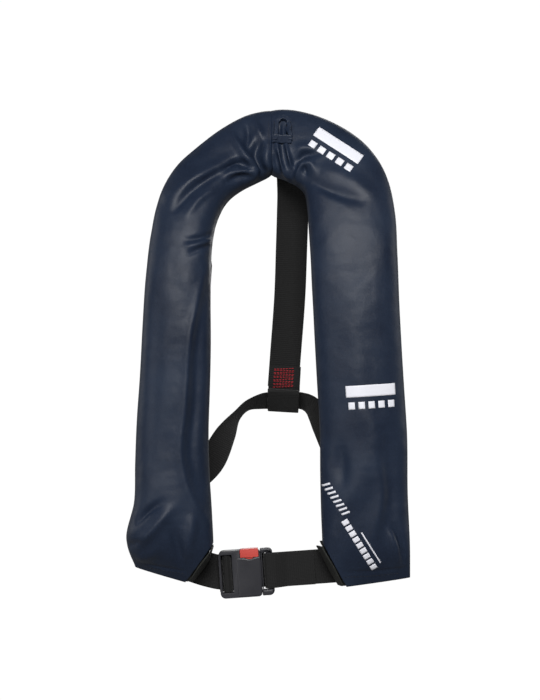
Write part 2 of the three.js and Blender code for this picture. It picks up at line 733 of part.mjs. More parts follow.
const LEVER_LENGTH = 16;
const LEVER_Y = [-61.5, -58.5];
const LEVER_HALF_WIDTH = 2.8;
const leverTip = { x: LEVER_PIVOT.x, z: LEVER_PIVOT.z + LEVER_LENGTH };
const leverArm = roundedPlate(
  LEVER_PIVOT.x - LEVER_HALF_WIDTH, LEVER_PIVOT.x + LEVER_HALF_WIDTH,
  LEVER_PIVOT.z - 2.9, leverTip.z + 2.9, 2.6, ...LEVER_Y,
);
addMesh(
  jacket,
  "manual_lever",
  cut(
    leverArm,
    rod("y", 1.6, -70, -50, LEVER_PIVOT.x, LEVER_PIVOT.z, 12),
    rod("y", 1.4, -70, -50, leverTip.x, leverTip.z, 12),
  ),
  clearPlastic,
);
// The pull strap hangs from a pin through the lever's tip, in front of the head's lug.
addMesh(
  jacket,
  "pull_strap",
  join(
    roundedPlate(leverTip.x - 4, leverTip.x + 4, leverTip.z - 9, leverTip.z + 2.4, 1.5, -65.8, -64.3),
    rod("y", 1.1, -64.5, -58.7, leverTip.x, leverTip.z, 10),
  ),
  blackWebbing,
);
addMesh(
  jacket,
  "pull_handle",
  roundedPlate(leverTip.x - 5, leverTip.x + 5, leverTip.z - 16.5, leverTip.z - 9.4, 2.5, -68.6, -64.3),
  redPlastic,
);

// ---------------------------------------------------------------------------
// Mouth tube, whistle and lifting strap, low in the right lobe.

const TUBE = { x: 98, y: -60, bottom: -408, top: -346 };
addMesh(
  jacket,
  "mouth_tube",
  cut(
    join(
      rod("z", 6, TUBE.bottom, TUBE.top, TUBE.x, TUBE.y),
      box([TUBE.x - 12, -56, TUBE.bottom], [TUBE.x + 12, -48.5, TUBE.bottom + 22]),
    ),
    rod("z", 3.6, TUBE.bottom + 8, TUBE.top + 1, TUBE.x, TUBE.y, 12),
  ),
  blackPlastic,
);
addMesh(
  jacket,
  "mouth_valve_body",
  cut(
    rod("z", 7.6, TUBE.top + GAP, TUBE.top + 16, TUBE.x, TUBE.y, 18),
    rod("z", 3.4, TUBE.top + 4, TUBE.top + 20, TUBE.x, TUBE.y, 12),
    rod("z", 1.8, TUBE.top - 2, TUBE.top + 8, TUBE.x, TUBE.y, 12),
  ),
  clearPlastic,
);
addMesh(jacket, "valve_poppet", rod("z", 2.9, TUBE.top + 6.5, TUBE.top + 15, TUBE.x, TUBE.y, 12), redPlastic);
const capHigh = TUBE.top + 18.5;
addMesh(
  jacket,
  "dust_cap",
  cut(
    rod("z", 9.6, TUBE.top + 6, capHigh, TUBE.x, TUBE.y, 18),
    rod("z", 8.1, TUBE.top + 5, capHigh - 1.8, TUBE.x, TUBE.y, 18),
  ),
  blackPlastic,
);

const whistleBody = roundedPlate(122, 138, -404, -356, 3.5, -66, -56);
addMesh(
  jacket,
  "whistle",
  cut(
    whistleBody,
    box([124.2, -64, -404.6], [135.8, -58, -386]),
    box([125, -70, -388], [135, -60, -384]),
    rod("y", 2, -70, -50, 130, -360.5, 10),
  ),
  finish(0xf08020, 0.4),
);
addMesh(
  jacket,
  "whistle_holder",
  cut(
    roundedPlate(119.5, 140.5, -378, -366, 2, -68.2, -53.6),
    box([121.2, -66.5, -380], [138.8, -55.4, -360]),
  ),
  blackWebbing,
);
addMesh(
  jacket,
  "lifting_strap",
  cut(
    roundedPlate(92, 138, -444, -418, 2, -61, -52),
    box([96, -59.2, -450], [145, -53.8, -410]),
  ),
  blackWebbing,
);

export default jacket;
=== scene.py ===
"""Looks for the inflatable life jacket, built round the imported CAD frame. Blender 4.5, metres."""

import json
import math
from contextlib import contextmanager

import bmesh
import bpy
import numpy as np
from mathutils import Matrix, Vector
from mathutils.bvhtree import BVHTree

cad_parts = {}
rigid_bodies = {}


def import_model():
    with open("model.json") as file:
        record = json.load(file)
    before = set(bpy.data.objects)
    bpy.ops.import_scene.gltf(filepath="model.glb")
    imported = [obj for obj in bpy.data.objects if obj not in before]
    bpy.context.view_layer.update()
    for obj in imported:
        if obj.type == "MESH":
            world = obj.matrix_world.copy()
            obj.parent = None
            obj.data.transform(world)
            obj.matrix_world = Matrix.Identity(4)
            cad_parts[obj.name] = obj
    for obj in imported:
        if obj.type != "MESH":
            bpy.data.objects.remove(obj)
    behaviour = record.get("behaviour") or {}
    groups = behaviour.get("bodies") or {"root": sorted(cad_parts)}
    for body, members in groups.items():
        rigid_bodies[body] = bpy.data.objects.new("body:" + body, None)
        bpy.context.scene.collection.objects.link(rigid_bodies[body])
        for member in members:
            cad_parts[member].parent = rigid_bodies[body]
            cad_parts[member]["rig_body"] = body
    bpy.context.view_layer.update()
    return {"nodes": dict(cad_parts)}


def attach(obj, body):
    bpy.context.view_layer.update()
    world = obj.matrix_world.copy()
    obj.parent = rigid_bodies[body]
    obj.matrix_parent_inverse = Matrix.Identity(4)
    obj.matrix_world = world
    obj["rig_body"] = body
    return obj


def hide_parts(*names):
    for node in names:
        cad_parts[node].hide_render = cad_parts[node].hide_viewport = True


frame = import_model()
MM = 0.001

# Camera, light and backdrop

CAMERA_AT = (0.0034, -1.65, -0.2057)
CHEST_DISTANCE = 1.6
CHEST_HALF_HEIGHT = 0.399
SENSOR = 36.0


def add_camera():
    data = bpy.data.cameras.new("camera")
    data.sensor_width = SENSOR
    data.lens = SENSOR / 2 * CHEST_DISTANCE / CHEST_HALF_HEIGHT
    data.clip_end = 50
    camera = bpy.data.objects.new("camera", data)
    camera.location = CAMERA_AT
    camera.rotation_euler = (math.radians(90), 0, 0)
    bpy.context.scene.collection.objects.link(camera)
    bpy.context.scene.camera = camera


def add_area_light(name, at, aim, size, watts):
    data = bpy.data.lights.new(name, "AREA")
    data.shape = "RECTANGLE"
    data.size, data.size_y = size
    data.energy = watts
    light = bpy.data.objects.new(name, data)
    light.location = at
    direction = Vector(aim) - Vector(at)
    light.rotation_euler = direction.to_track_quat("-Z", "Y").to_euler()
    bpy.context.scene.collection.objects.link(light)


def add_world(thrown, seen):
    """An even white room: seen as bright as seen, it lights the jacket only as much as thrown."""
    world = bpy.data.worlds.new("studio")
    world.use_nodes = True
    tree = world.node_tree
    background = tree.nodes["Background"]
    background.inputs["Color"].default_value = (1, 1, 1, 1)
    path = tree.nodes.new("ShaderNodeLightPath")
    strength = tree.nodes.new("ShaderNodeMapRange")
    strength.inputs["To Min"].default_value = thrown
    strength.inputs["To Max"].default_value = seen
    tree.links.new(path.outputs["Is Camera Ray"], strength.inputs["Value"])
    tree.links.new(strength.outputs["Result"], background.inputs["Strength"])
    bpy.context.scene.world = world


def add_backdrop():
    """A pale floor, far below the hanging jacket, that sweeps up into a wall behind it."""
    floor_z, wall_y, bend, top = -1.05, 3.2, 1.2, 4.0
    profile = [(-6.0, floor_z), (wall_y - bend, floor_z)]
    for step in range(1, 13):
        angle = math.pi / 2 * step / 12
        profile.append((wall_y - bend + bend * math.sin(angle), floor_z + bend * (1 - math.cos(angle))))
    profile.append((wall_y, top))
    half = 7.0
    rows = np.array([[(x, y, z) for y, z in profile] for x in (-half, half)])
    backdrop = grid_object("backdrop", rows)
    backdrop.data.materials.append(backdrop_white())


# Meshes


def link(obj):
    bpy.context.scene.collection.objects.link(obj)
    return obj


def grid_object(name, rows, cyclic=False):
    """A mesh from rows of points; cyclic joins each row's end to its start. UVs are in metres."""
    rows = np.asarray(rows, float)
    count, width = rows.shape[:2]
    last = width if cyclic else width - 1
    faces = []
    for r in range(count - 1):
        for c in range(last):
            d = (c + 1) % width
            faces.append((r * width + c, r * width + d, (r + 1) * width + d, (r + 1) * width + c))
    mesh = bpy.data.meshes.new(name)
    mesh.from_pydata(rows.reshape(-1, 3).tolist(), [], faces)
    along = np.concatenate([[0], np.cumsum(np.linalg.norm(np.diff(rows.mean(1), axis=0), axis=1))])
    closed = np.concatenate([rows, rows[:, :1]], axis=1) if cyclic else rows
    middle = closed[count // 2]
    across = np.concatenate([[0], np.cumsum(np.linalg.norm(np.diff(middle, axis=0), axis=1))])
    layer = mesh.uv_layers.new(name="UVMap")
    uvs = []
    for r in range(count - 1):
        for c in range(last):
            uvs += [(across[c], along[r]), (across[c + 1], along[r])]
            uvs += [(across[c + 1], along[r + 1]), (across[c], along[r + 1])]
    layer.data.foreach_set("uv", np.array(uvs).ravel())
    mesh.polygons.foreach_set("use_smooth", [True] * len(mesh.polygons))
    mesh.update()
    return link(bpy.data.objects.new(name, mesh))


def points_of(obj):
    co = np.empty(len(obj.data.vertices) * 3)
    obj.data.vertices.foreach_get("co", co)
    return co.reshape(-1, 3)


def set_points(obj, co):
    obj.data.vertices.foreach_set("co", np.asarray(co).ravel())
    obj.data.update()


def normals_of(obj):
    no = np.empty(len(obj.data.vertices) * 3)
    obj.data.vertex_normals.foreach_get("vector", no)
    return no.reshape(-1, 3)


@contextmanager
def edited(obj):
    """Opens an object's mesh for editing, and writes it back."""
    bm = bmesh.new()
    bm.from_mesh(obj.data)
    yield bm
    bm.to_mesh(obj.data)
    bm.free()


def face_outward(obj):
    with edited(obj) as bm:
        bmesh.ops.recalc_face_normals(bm, faces=bm.faces)


def weld(obj, distance=1e-6):
    with edited(obj) as bm:
        bmesh.ops.remove_doubles(bm, verts=bm.verts, dist=distance)
        bmesh.ops.recalc_face_normals(bm, faces=bm.faces)


def close_ends(obj):
    with edited(obj) as bm:
        edges = [e for e in bm.edges if e.is_boundary]
        bmesh.ops.holes_fill(bm, edges=edges, sides=0)
        bmesh.ops.triangulate(bm, faces=[f for f in bm.faces if len(f.verts) > 4])
        bmesh.ops.recalc_face_normals(bm, faces=bm.faces)


def apply_modifiers(obj):
    depsgraph = bpy.context.evaluated_depsgraph_get()
    mesh = bpy.data.meshes.new_from_object(obj.evaluated_get(depsgraph))
    old = obj.data
    obj.modifiers.clear()
    obj.data = mesh
    bpy.data.meshes.remove(old)


def thicken(obj, thickness, offset):
    """Gives a sheet its thickness in mm, to one side (offset 1 or -1) or to both (0)."""
    modifier = obj.modifiers.new("thickness", "SOLIDIFY")
    modifier.thickness = thickness * MM
    modifier.offset = offset
    apply_modifiers(obj)
    return obj


def subdivide(obj, levels):
    modifier = obj.modifiers.new("subdivide", "SUBSURF")
    modifier.levels = modifier.render_levels = levels
    apply_modifiers(obj)


def spline(points, count):
    """count points on a smooth curve through the given points, evenly spread between them."""
    p = np.asarray(points, float)
    knots = np.concatenate([[0], np.cumsum(np.linalg.norm(np.diff(p[:, :3], axis=0), axis=1) ** 0.5)])
    return sample(knots, p, np.interp(np.linspace(0, len(p) - 1, count), np.arange(len(p)), knots))


def sample(knots, values, at):
    """A natural-looking cubic through values at knots (Catmull-Rom tangents, uneven knots)."""
    v = np.asarray(values, float)
    k = np.asarray(knots, float)
    slopes = np.empty_like(v)
    step = np.diff(k)[:, None]
    chord = np.diff(v, axis=0) / step
    slopes[1:-1] = (chord[:-1] * step[1:] + chord[1:] * step[:-1]) / (step[:-1] + step[1:])
    slopes[0], slopes[-1] = chord[0], chord[-1]
    i = np.clip(np.searchsorted(k, at, side="right") - 1, 0, len(k) - 2)
    h = (k[i + 1] - k[i])[:, None]
    s = ((at - k[i]) / (k[i + 1] - k[i]))[:, None]
    h00, h10 = 2 * s**3 - 3 * s**2 + 1, s**3 - 2 * s**2 + s
    h01, h11 = -2 * s**3 + 3 * s**2, s**3 - s**2
    return h00 * v[i] + h10 * h * slopes[i] + h01 * v[i + 1] + h11 * h * slopes[i + 1]


def unit(v):
    return v / np.linalg.norm(v, axis=-1, keepdims=True)


def round_section(count):
    """The cosine and sine of count angles evenly round a section."""
    angle = 2 * np.pi * (np.arange(count) + 0.5) / count
    return np.cos(angle), np.sin(angle)


def squared_off(v, power):
    """v to a power, with its sign kept: below one, it squares off a round section."""
    return np.sign(v) * np.abs(v) ** power


# Materials


class Nodes:
    """A short way to build a node tree."""

    def __init__(self, name):
        self.material = bpy.data.materials.new(name)
        self.material.use_nodes = True
        self.tree = self.material.node_tree
        self.shader = self.tree.nodes["Principled BSDF"]

    def add(self, kind, inputs=None, **settings):
        node = self.tree.nodes.new(kind)
        for key, value in settings.items():
            setattr(node, key, value)
        for key, value in (inputs or {}).items():
            self.set(node.inputs[key], value)
        return node

    def set(self, socket, value):
        if isinstance(value, bpy.types.NodeSocket):
            self.tree.links.new(value, socket)
        else:
            socket.default_value = value

    def shade(self, **inputs):
        for key, value in inputs.items():
            self.set(self.shader.inputs[key.replace("_", " ")], value)

    def noise(self, vector, scale, detail=3.0, roughness=0.5):
        node = self.add("ShaderNodeTexNoise", {"Vector": vector, "Scale": scale, "Detail": detail})
        node.inputs["Roughness"].default_value = roughness
        return node.outputs["Fac"]

    def ramp(self, factor, low, high, start=0.35, end=0.65):
        node = self.add("ShaderNodeMapRange", {"Value": factor, "From Min": start, "From Max": end})
        node.inputs["To Min"].default_value = low
        node.inputs["To Max"].default_value = high
        return node.outputs["Result"]

    def mix(self, factor, a, b):
        node = self.add("ShaderNodeMix", data_type="RGBA")
        self.set(node.inputs["Factor"], factor)
        self.set(node.inputs[6], (*a, 1) if isinstance(a, tuple) else a)
        self.set(node.inputs[7], (*b, 1) if isinstance(b, tuple) else b)
        return node.outputs[2]

    def math(self, operation, a, b=0.0):
        node = self.add("ShaderNodeMath", operation=operation)
        self.set(node.inputs[0], a)
        self.set(node.inputs[1], b)
        return node.outputs[0]

    def bump(self, height, distance, strength=1.0, normal=None):
        node = self.add("ShaderNodeBump", {"Height": height, "Distance": distance, "Strength": strength})
        if normal is not None:
            self.set(node.inputs["Normal"], normal)
        return node.outputs["Normal"]

    def coords(self, kind):
        return self.add("ShaderNodeTexCoord").outputs[kind]

    def weave(self, vector, pitch_u, pitch_v):
        """The height of a plain weave whose threads repeat at the two pitches, in metres."""
        waves = []
        for axis, pitch in (("X", pitch_u), ("Y", pitch_v)):
            wave = self.add("ShaderNodeTexWave", {"Vector": vector}, bands_direction=axis)
            wave.inputs["Scale"].default_value = 1 / (pitch * 20) * 2 * math.pi
            waves.append(wave.outputs["Fac"])
        return self.math("MULTIPLY", *waves)


def backdrop_white(seen=1.02, thrown=0.22):
    """White to the eye, and dim to the jacket, so that its edges stay dark."""
    n = Nodes("backdrop_white")
    path = n.add("ShaderNodeLightPath").outputs["Is Camera Ray"]
    glow = n.add("ShaderNodeEmission", {"Color": (1, 1, 1, 1)})
    n.set(glow.inputs["Strength"], n.ramp(path, thrown, seen, 0, 1))
    n.tree.links.new(glow.outputs[0], n.tree.nodes["Material Output"].inputs["Surface"])
    return n.material


def satin_nylon(name, dark, light, roughness):
    """Proofed satin nylon: fine weave, soft sheen, and slow noise that mixes a dark and a light navy as
    painted shade and painted sheen.
    """
    n = Nodes(name)
    where = n.coords("Object")
    weave = n.weave(n.coords("UV"), 0.0011, 0.0011)
    cloud = n.noise(where, 14, 4, 0.55)
    thread = n.noise(where, 900, 2)
    # Painted shade and painted sheen: slow noise mixes the dark and the light navy into broad patches.
    painted_sheen_and_shade = n.mix(n.ramp(cloud, 0, 1, 0.3, 0.7), dark, light)
    fleck = n.mix(n.ramp(thread, 0, 0.35, 0.4, 0.7), painted_sheen_and_shade, tuple(1.5 * c for c in light))
    n.shade(Base_Color=fleck)
    n.shade(Roughness=n.ramp(cloud, roughness - 0.04, roughness + 0.05, 0.3, 0.7))
    drape = n.bump(n.noise(where, 24, 2, 0.5), 0.006, 0.5)
    crinkle = n.bump(n.noise(where, 160, 3, 0.6), 0.0006, 0.35, drape)
    n.shade(Normal=n.bump(weave, 0.0002, 0.35, crinkle))
    n.shade(Specular_IOR_Level=0.28)
    return n.material


def webbing_cloth(name, dark, light):
    """Polyester webbing: ribs across the tape, with a fine noise of threads."""
    n = Nodes(name)
    uv = n.coords("UV")
    rib = n.weave(uv, 0.0016, 0.0024)
    thread = n.noise(n.coords("Object"), 700, 3)
    n.shade(Base_Color=n.mix(n.math("MULTIPLY", rib, thread), dark, light), Roughness=0.72)
    n.shade(Normal=n.bump(rib, 0.0005, 0.8, n.bump(thread, 0.0002, 0.4)))
    n.shade(Sheen_Weight=0.15, Sheen_Roughness=0.5, Sheen_Tint=(0.8, 0.8, 0.8, 1))
    n.shade(Specular_IOR_Level=0.3)
    return n.material


# Cover: each half runs between an inner and an outer rail, from the nape's seam to its hem.
# Rails are in millimetres; each pair of points is one section of the stuffed cover.

LEFT_INNER = [
    (5.6, -16, 1), (-13, -17, -8), (-29, -20, -16.5), (-45, -28, -30), (-54, -37, -45),
    (-60, -44, -61), (-63, -49, -77), (-64.5, -53, -100), (-64.5, -54, -145), (-64, -54, -200),
    (-65, -54, -250), (-66.5, -54, -300), (-65.5, -54, -345), (-63, -54, -385), (-61, -54, -425),
    (-60, -54, -478),
]
LEFT_OUTER = [
    (5.6, 16, 77), (-24, 14.5, 70), (-54, 9, 53), (-84, -2, 28), (-104, -11, 8),
    (-119, -20, -17), (-127, -28, -42), (-132.5, -38, -72), (-138, -49, -120), (-141.5, -53, -175),
    (-144.5, -54, -235), (-148, -54, -285), (-149.8, -54, -335), (-151, -54, -378), (-160, -54, -418),
    (-150.5, -48, -453),
]
# Depth in front of the rails and behind them, then how the crown leans to the outer edge.
LEFT_DEPTH = [
    (21, 19, 0), (21, 20, 0), (22, 20, 0), (22, 21, 0), (23, 22, 0),
    (23, 22, 0), (24, 22, 0), (25, 22, 0), (26, 22, 0), (26, 22, 0),
    (26, 22, 0.1), (27, 22, 0.15), (28, 22, 0.2), (32, 22, 0.3), (30, 22, 0.3),
    (5, 16, 0),
]
RIGHT_INNER = [
    (4.6, -16, 1), (20, -17, -4), (33, -19, -11), (43, -25, -22), (46, -33, -40),
    (47.5, -41, -62), (49, -47, -88), (50.5, -53, -120), (52.5, -54, -160), (54.5, -54, -200),
    (57, -54, -245), (60, -54, -295), (60.5, -54, -345), (61.5, -54, -390), (63, -54, -430),
    (64, -54, -478),
]
RIGHT_OUTER = [
    (4.6, 16, 77), (31, 15, 76.5), (62, 11, 68), (93, 4, 52), (114, -4, 35),
    (131, -15, 12), (141, -26, -13), (147, -38, -48), (149, -49, -98), (150.5, -53, -150),
    (153, -54, -200), (156, -54, -250), (159.5, -54, -305), (160, -54, -370), (162.5, -54, -425),
    (163.5, -48, -465),
]
RIGHT_DEPTH = [
    (21, 19, 0), (21, 20, 0), (22, 20, 0), (22, 21, 0), (23, 22, 0), (23, 22, 0), *[(24, 22, 0)] * 8,
    (21, 20, 0), (4, 12, 0),
]
RINGS = 170
AROUND = 72
FRONT_POWER = 2.35
BACK_POWER = 4.0
SEAM_PINCH = (0.96, 0.985, 0.995)
SEAM_RINGS = 14


def rail_sections(inner, outer, depth, count=RINGS):
    """Sections along one half: middle, half width vector, front normal and depths, in metres."""
    middles = (np.array(inner, float) + np.array(outer, float)) / 2
    table = np.concatenate([inner, outer, depth], axis=1)
    knots = np.concatenate([[0], np.cumsum(np.linalg.norm(np.diff(middles, axis=0), axis=1))])
    at = np.linspace(0, knots[-1], count)
    rows = sample(knots, table, at)
    low, high, sizes = rows[:, :3] * MM, rows[:, 3:6] * MM, rows[:, 6:]
    middle = (low + high) / 2
    across = (high - low) / 2
    along = unit(np.gradient(middle, axis=0))
    front = unit(np.cross(along, across))
    front *= np.where(front[:, 1:2] > 0, -1, 1)
    front[:, 0] *= np.clip(np.arange(count) / SEAM_RINGS, 0, 1) ** 0.7
    front = unit(front)
    return middle, across, front, sizes[:, 0] * MM, sizes[:, 1] * MM, sizes[:, 2]


def stuffed_rings(sections, around=AROUND):
    """Rings of a stuffed section: round in front, flat behind."""
    middle, across, front, ahead, behind, lean = sections
    c, s = round_section(around)
    power = 2 / np.where(s > 0, FRONT_POWER, BACK_POWER)
    w = squared_off(c, power)
    n = squared_off(s, power)
    depth = np.where(n > 0, ahead[:, None], behind[:, None]) * n
    shift = np.where(n > 0, lean[:, None] * n * (1 - w**2), 0)
    wide = (w + shift)[:, :, None]
    rings = middle[:, None] + across[:, None] * wide + front[:, None] * depth[:, :, None]
    for row, scale in enumerate(SEAM_PINCH):
        centre = rings[row].mean(0)
        rings[row] = centre + (rings[row] - centre) * scale
    return rings


# The ends of each lobe's slanted corner, low and high.
CORNERS = {"left": ((-91, 0, -470), (-61, 0, -428)), "right": ((89, 0, -476), (63, 0, -428))}


def corner_plane(side):
    """The slanted cut across a lobe's lower inner corner: a point on it and the way out of the lobe."""
    low, high = CORNERS[side]
    slant = unit(np.array(high, float) - np.array(low, float))
    normal = np.array([slant[2], 0, -slant[0]]) * (1 if side == "left" else -1)
    return np.array(low) * MM, normal


def cut_corner(obj, side, shift=0.0):
    """Cuts a piece off along the slanted corner, moved out of the lobe by shift."""
    point, normal = corner_plane(side)
    with edited(obj) as bm:
        geometry = bm.verts[:] + bm.edges[:] + bm.faces[:]
        at = Vector(point + normal * shift)
        bmesh.ops.bisect_plane(bm, geom=geometry, plane_co=at, plane_no=Vector(normal), clear_outer=True)


def soft_cap(move, cap):
    """Shortens long moves smoothly, so that none is longer than cap."""
    length = np.linalg.norm(move, axis=1, keepdims=True) + 1e-9
    return move * (cap * np.tanh(length / cap) / length)


# Cloth modifier settings for the proofed nylon.
CLOTH = {
    "quality": 6, "mass": 0.25, "tension_stiffness": 25, "compression_stiffness": 25, "shear_stiffness": 8,
    "bending_stiffness": 0.6, "use_pressure": True, "vertex_group_mass": "pin", "pin_stiffness": 1,
}


def relax_cloth(obj, pinned, excess, pressure, frames, cap):
    """Lets cloth that is cut a little too large settle over its stuffing: it puckers between its seams."""
    start = points_of(obj)
    obj.shape_key_add(name="Basis")
    cut = obj.shape_key_add(name="cut")
    flat = excess(start)
    cut.data.foreach_set("co", flat.ravel())
    group = obj.vertex_groups.new(name="pin")
    for index, weight in enumerate(pinned):
        if weight > 0.01:
            group.add([index], float(weight), "REPLACE")
    cloth = obj.modifiers.new("cloth", "CLOTH")
    for key, value in CLOTH.items():
        setattr(cloth.settings, key, value)
    cloth.settings.uniform_pressure_force = pressure
    cloth.settings.rest_shape_key = cut
    cloth.settings.effector_weights.gravity = 0
    cloth.collision_settings.use_collision = False
    cloth.point_cache.frame_start = 1
    cloth.point_cache.frame_end = frames
    scene = bpy.context.scene
    for number in range(1, frames + 1):
        scene.frame_set(number)
    depsgraph = bpy.context.evaluated_depsgraph_get()
    settled = obj.evaluated_get(depsgraph).to_mesh()
    co = np.empty(len(settled.vertices) * 3)
    settled.vertices.foreach_get("co", co)
    obj.evaluated_get(depsgraph).to_mesh_clear()
    obj.modifiers.remove(cloth)
    obj.shape_key_clear()
    obj.vertex_groups.remove(group)
    scene.frame_set(1)
    set_points(obj, start + soft_cap(co.reshape(-1, 3) - start, cap))


def fold(co, normals, height, width, route):
    """Raises a ridge, or sinks a valley, along a route drawn on the front (x, z in mm)."""
    line = np.array(route, float) * MM
    if len(line) > 2:
        line = spline(np.column_stack([line, np.zeros(len(line))]), 24)[:, :2]
    flat = co[:, [0, 2]]
    a, b = line[:-1], line[1:]
    ab = b - a
    t = np.einsum("nij,ij->ni", flat[:, None] - a, ab) / (ab**2).sum(1)
    t = np.clip(t, 0, 1)
    distance = np.linalg.norm(flat[:, None] - (a + t[..., None] * ab), axis=2)
    nearest = distance.argmin(1)
    rows = np.arange(len(co))
    share = (nearest + t[rows, nearest]) / len(ab)
    taper = np.sin(np.pi * np.clip(share * 0.86 + 0.07, 0, 1)) ** 0.7
    facing = np.clip(-normals[:, 1] * 2.0, 0, 1)
    amount = height * MM * np.exp(-((distance[rows, nearest] / (width * MM)) ** 2)) * taper * facing
    return co + normals * amount[:, None]


def press_folds(obj, folds):
    for height, width, route in folds:
        set_points(obj, fold(points_of(obj), normals_of(obj), height, width, route))


# Folds in the cloth, each a height and a width in millimetres and a route over the front.
LEFT_FOLDS = [
    (4.6, 5.5, [(1, 30), (-1, 14), (3, 1)]),
    (-8.0, 5.5, [(-7, 38), (-14, 23), (-10, 5), (-1, -3)]),
    (3.6, 4.5, [(-16, 64), (-9, 47), (-3, 33)]),
    (-3.4, 4, [(-24, 60), (-22, 44), (-24, 28)]),
    (6.0, 4.5, [(-41, 45), (-27, 20), (-14, 3), (-16, -6)]),
    (-6.0, 4, [(-48, 4), (-34, 11), (-21, 4)]),
    (3.6, 3.5, [(-45, -3), (-25, 0), (-14, 1)]),
    (-4.0, 4, [(-46, -12), (-30, -6), (-20, -6)]),
    (4.4, 8, [(-40, 14), (-62, 2), (-88, -14), (-114, -31)]),
    (-5.4, 5, [(-48, 2), (-66, -9), (-88, -26), (-104, -46)]),
    (2.6, 4, [(-60, -22), (-76, -34), (-90, -52)]),
    (3.4, 5, [(-67, -110), (-86, -189), (-92, -267), (-97, -323), (-86, -368), (-66, -402)]),
    (-3.4, 6, [(-66, -126), (-76, -195), (-80, -267), (-84, -323), (-76, -360)]),
    (-2.4, 9, [(-122, -150), (-126, -250), (-130, -330)]),
    (-3.0, 3.2, [(-62, -74), (-78, -80), (-92, -82)]),
    (2.6, 3.2, [(-64, -81), (-78, -87), (-90, -90)]),
    (-2.6, 3, [(-64, -88), (-78, -93), (-88, -98)]),
    (5.0, 5.5, [(-108, -384), (-126, -404), (-144, -424)]),
    (-5.4, 4.5, [(-118, -376), (-134, -388), (-148, -402)]),
    (-3.0, 5, [(-140, -420), (-150, -424), (-160, -426)]),
    (3.4, 7, [(-124, -430), (-138, -438), (-148, -440)]),
    (-5.4, 6, [(-106, -404), (-100, -424), (-96, -444)]),
    (3.6, 6, [(-82, -388), (-86, -414), (-90, -440)]),
    (-1.2, 1.8, [(-92, -456), (-115, -452), (-146, -446)]),
]
RIGHT_FOLDS = [
    (4.6, 3, [(11, 34), (14, 20), (18, 5), (33, -17)]),
    (4.0, 2.8, [(21, 33), (24, 19), (29, 6)]),
    (-5.0, 2.8, [(17, 33), (19, 19), (22, 6)]),
    (-4.6, 3, [(9, 22), (10, 12), (14, -2)]),
    (3.0, 5, [(33, 27), (44, 28), (56, 25)]),
    (-6.4, 4, [(35, 10), (41, 18), (58, 21)]),
    (4.6, 4, [(35, -11), (37, 4), (50, 9), (54, 0)]),
    (-3.0, 2.5, [(42, 7), (45, -4)]),
    (-5.0, 6, [(50, -12), (74, -24), (106, -36)]),
    (2.8, 8, [(62, 2), (88, -8), (118, -26)]),
    (-2.6, 4, [(30, 24), (32, 12), (31, 0)]),
    (3.4, 15, [(98, -150), (104, -262), (120, -306), (98, -362), (72, -407)]),
    (-4.0, 11, [(135, -300), (141, -372), (132, -430)]),
    (-4.4, 8, [(82, -312), (84, -356)]),
    (2.4, 6, [(124, -330), (128, -372), (118, -420)]),
    (-4.4, 4, [(143, -405), (150, -422), (154, -444)]),
    (3.6, 4, [(136, -408), (144, -428), (149, -450)]),
    (-3.5, 2.2, [(14.5, 58), (14.6, 43)]),
    (-3.2, 2.0, [(23.4, 56), (23.6, 43)]),
    (-1.2, 1.8, [(90, -457), (125, -456), (158, -453)]),
]


def slack(along_neck, along_lobe):
    """How much larger than its place the cloth is cut: more round the neck than on the chest."""

    def excess(co):
        cut = co.copy()
        neck = np.clip(co[:, 2] + 0.11, 0, None)
        cut[:, 2] += co[:, 2] * along_lobe + neck * along_neck
        cut[:, 0] += co[:, 0] * along_neck
        return cut

    return excess


def cover_half(name, side, inner, outer, depth, folds):
    sections = rail_sections(inner, outer, depth)
    rings = stuffed_rings(sections)
    cover = grid_object(name, rings, cyclic=True)
    face_outward(cover)
    behind = np.tile(np.sin(2 * np.pi * (np.arange(AROUND) + 0.5) / AROUND), RINGS)
    row = np.repeat(np.arange(RINGS), AROUND)
    pinned = np.clip(0.35 - behind * 3, 0, 1)
    pinned = np.maximum(pinned, np.clip(1 - row / 4, 0, 1))
    pinned = np.maximum(pinned, np.clip(1 - (RINGS - 1 - row) / 5, 0, 1))
    relax_cloth(cover, pinned, slack(0.05, 0.018), pressure=3.0, frames=24, cap=0.006)
    subdivide(cover, 1)
    press_folds(cover, folds)
    cut_corner(cover, side, -0.0018)
    close_ends(cover)
    return cover


# Cloth strips that belong to the cover: back panel, closure tapes, bladder


def strip_rings(sections, low, high, back, thick, crown=0.0, across_points=14):
    """Rings of a flat strip: low and high across in half-widths, back from the rails in metres."""
    middle, across, front, _, behind, _ = sections
    share = np.linspace(0, 1, across_points)[None]
    low = np.broadcast_to(low, len(middle))[:, None]
    u = low + (high - low) * share
    rise = crown * (1 - (2 * share - 1) ** 4)
    rows = []
    for side, order in ((1, 1), (-1, -1)):
        offset = -behind[:, None] - back + side * (thick / 2 + rise)
        points = middle[:, None] + across[:, None] * u[:, :, None] + front[:, None] * offset[:, :, None]
        rows.append(points[:, ::order])
    return np.concatenate(rows, axis=1)


def cover_strip(name, sections, low, high, back, thick, crown=0.0, rows=slice(None)):
    picked = tuple(part[rows] for part in sections)
    return grid_object(name, strip_rings(picked, low, high, back, thick, crown), cyclic=True)


# The back panel stops short of the hem, and lies behind the rails by PANEL_BEHIND in metres.
BACK_RINGS = RINGS - 4
PANEL_BEHIND = 0.0042
CORNER_TRIM = -0.0015


def inner_edge(sections):
    """Where the back panel ends towards the neck, in half-widths: it is narrower behind the nape."""
    height = sections[0][:, 2]
    return -0.88 + 0.36 * np.clip((height + 0.09) / 0.07, 0, 1)


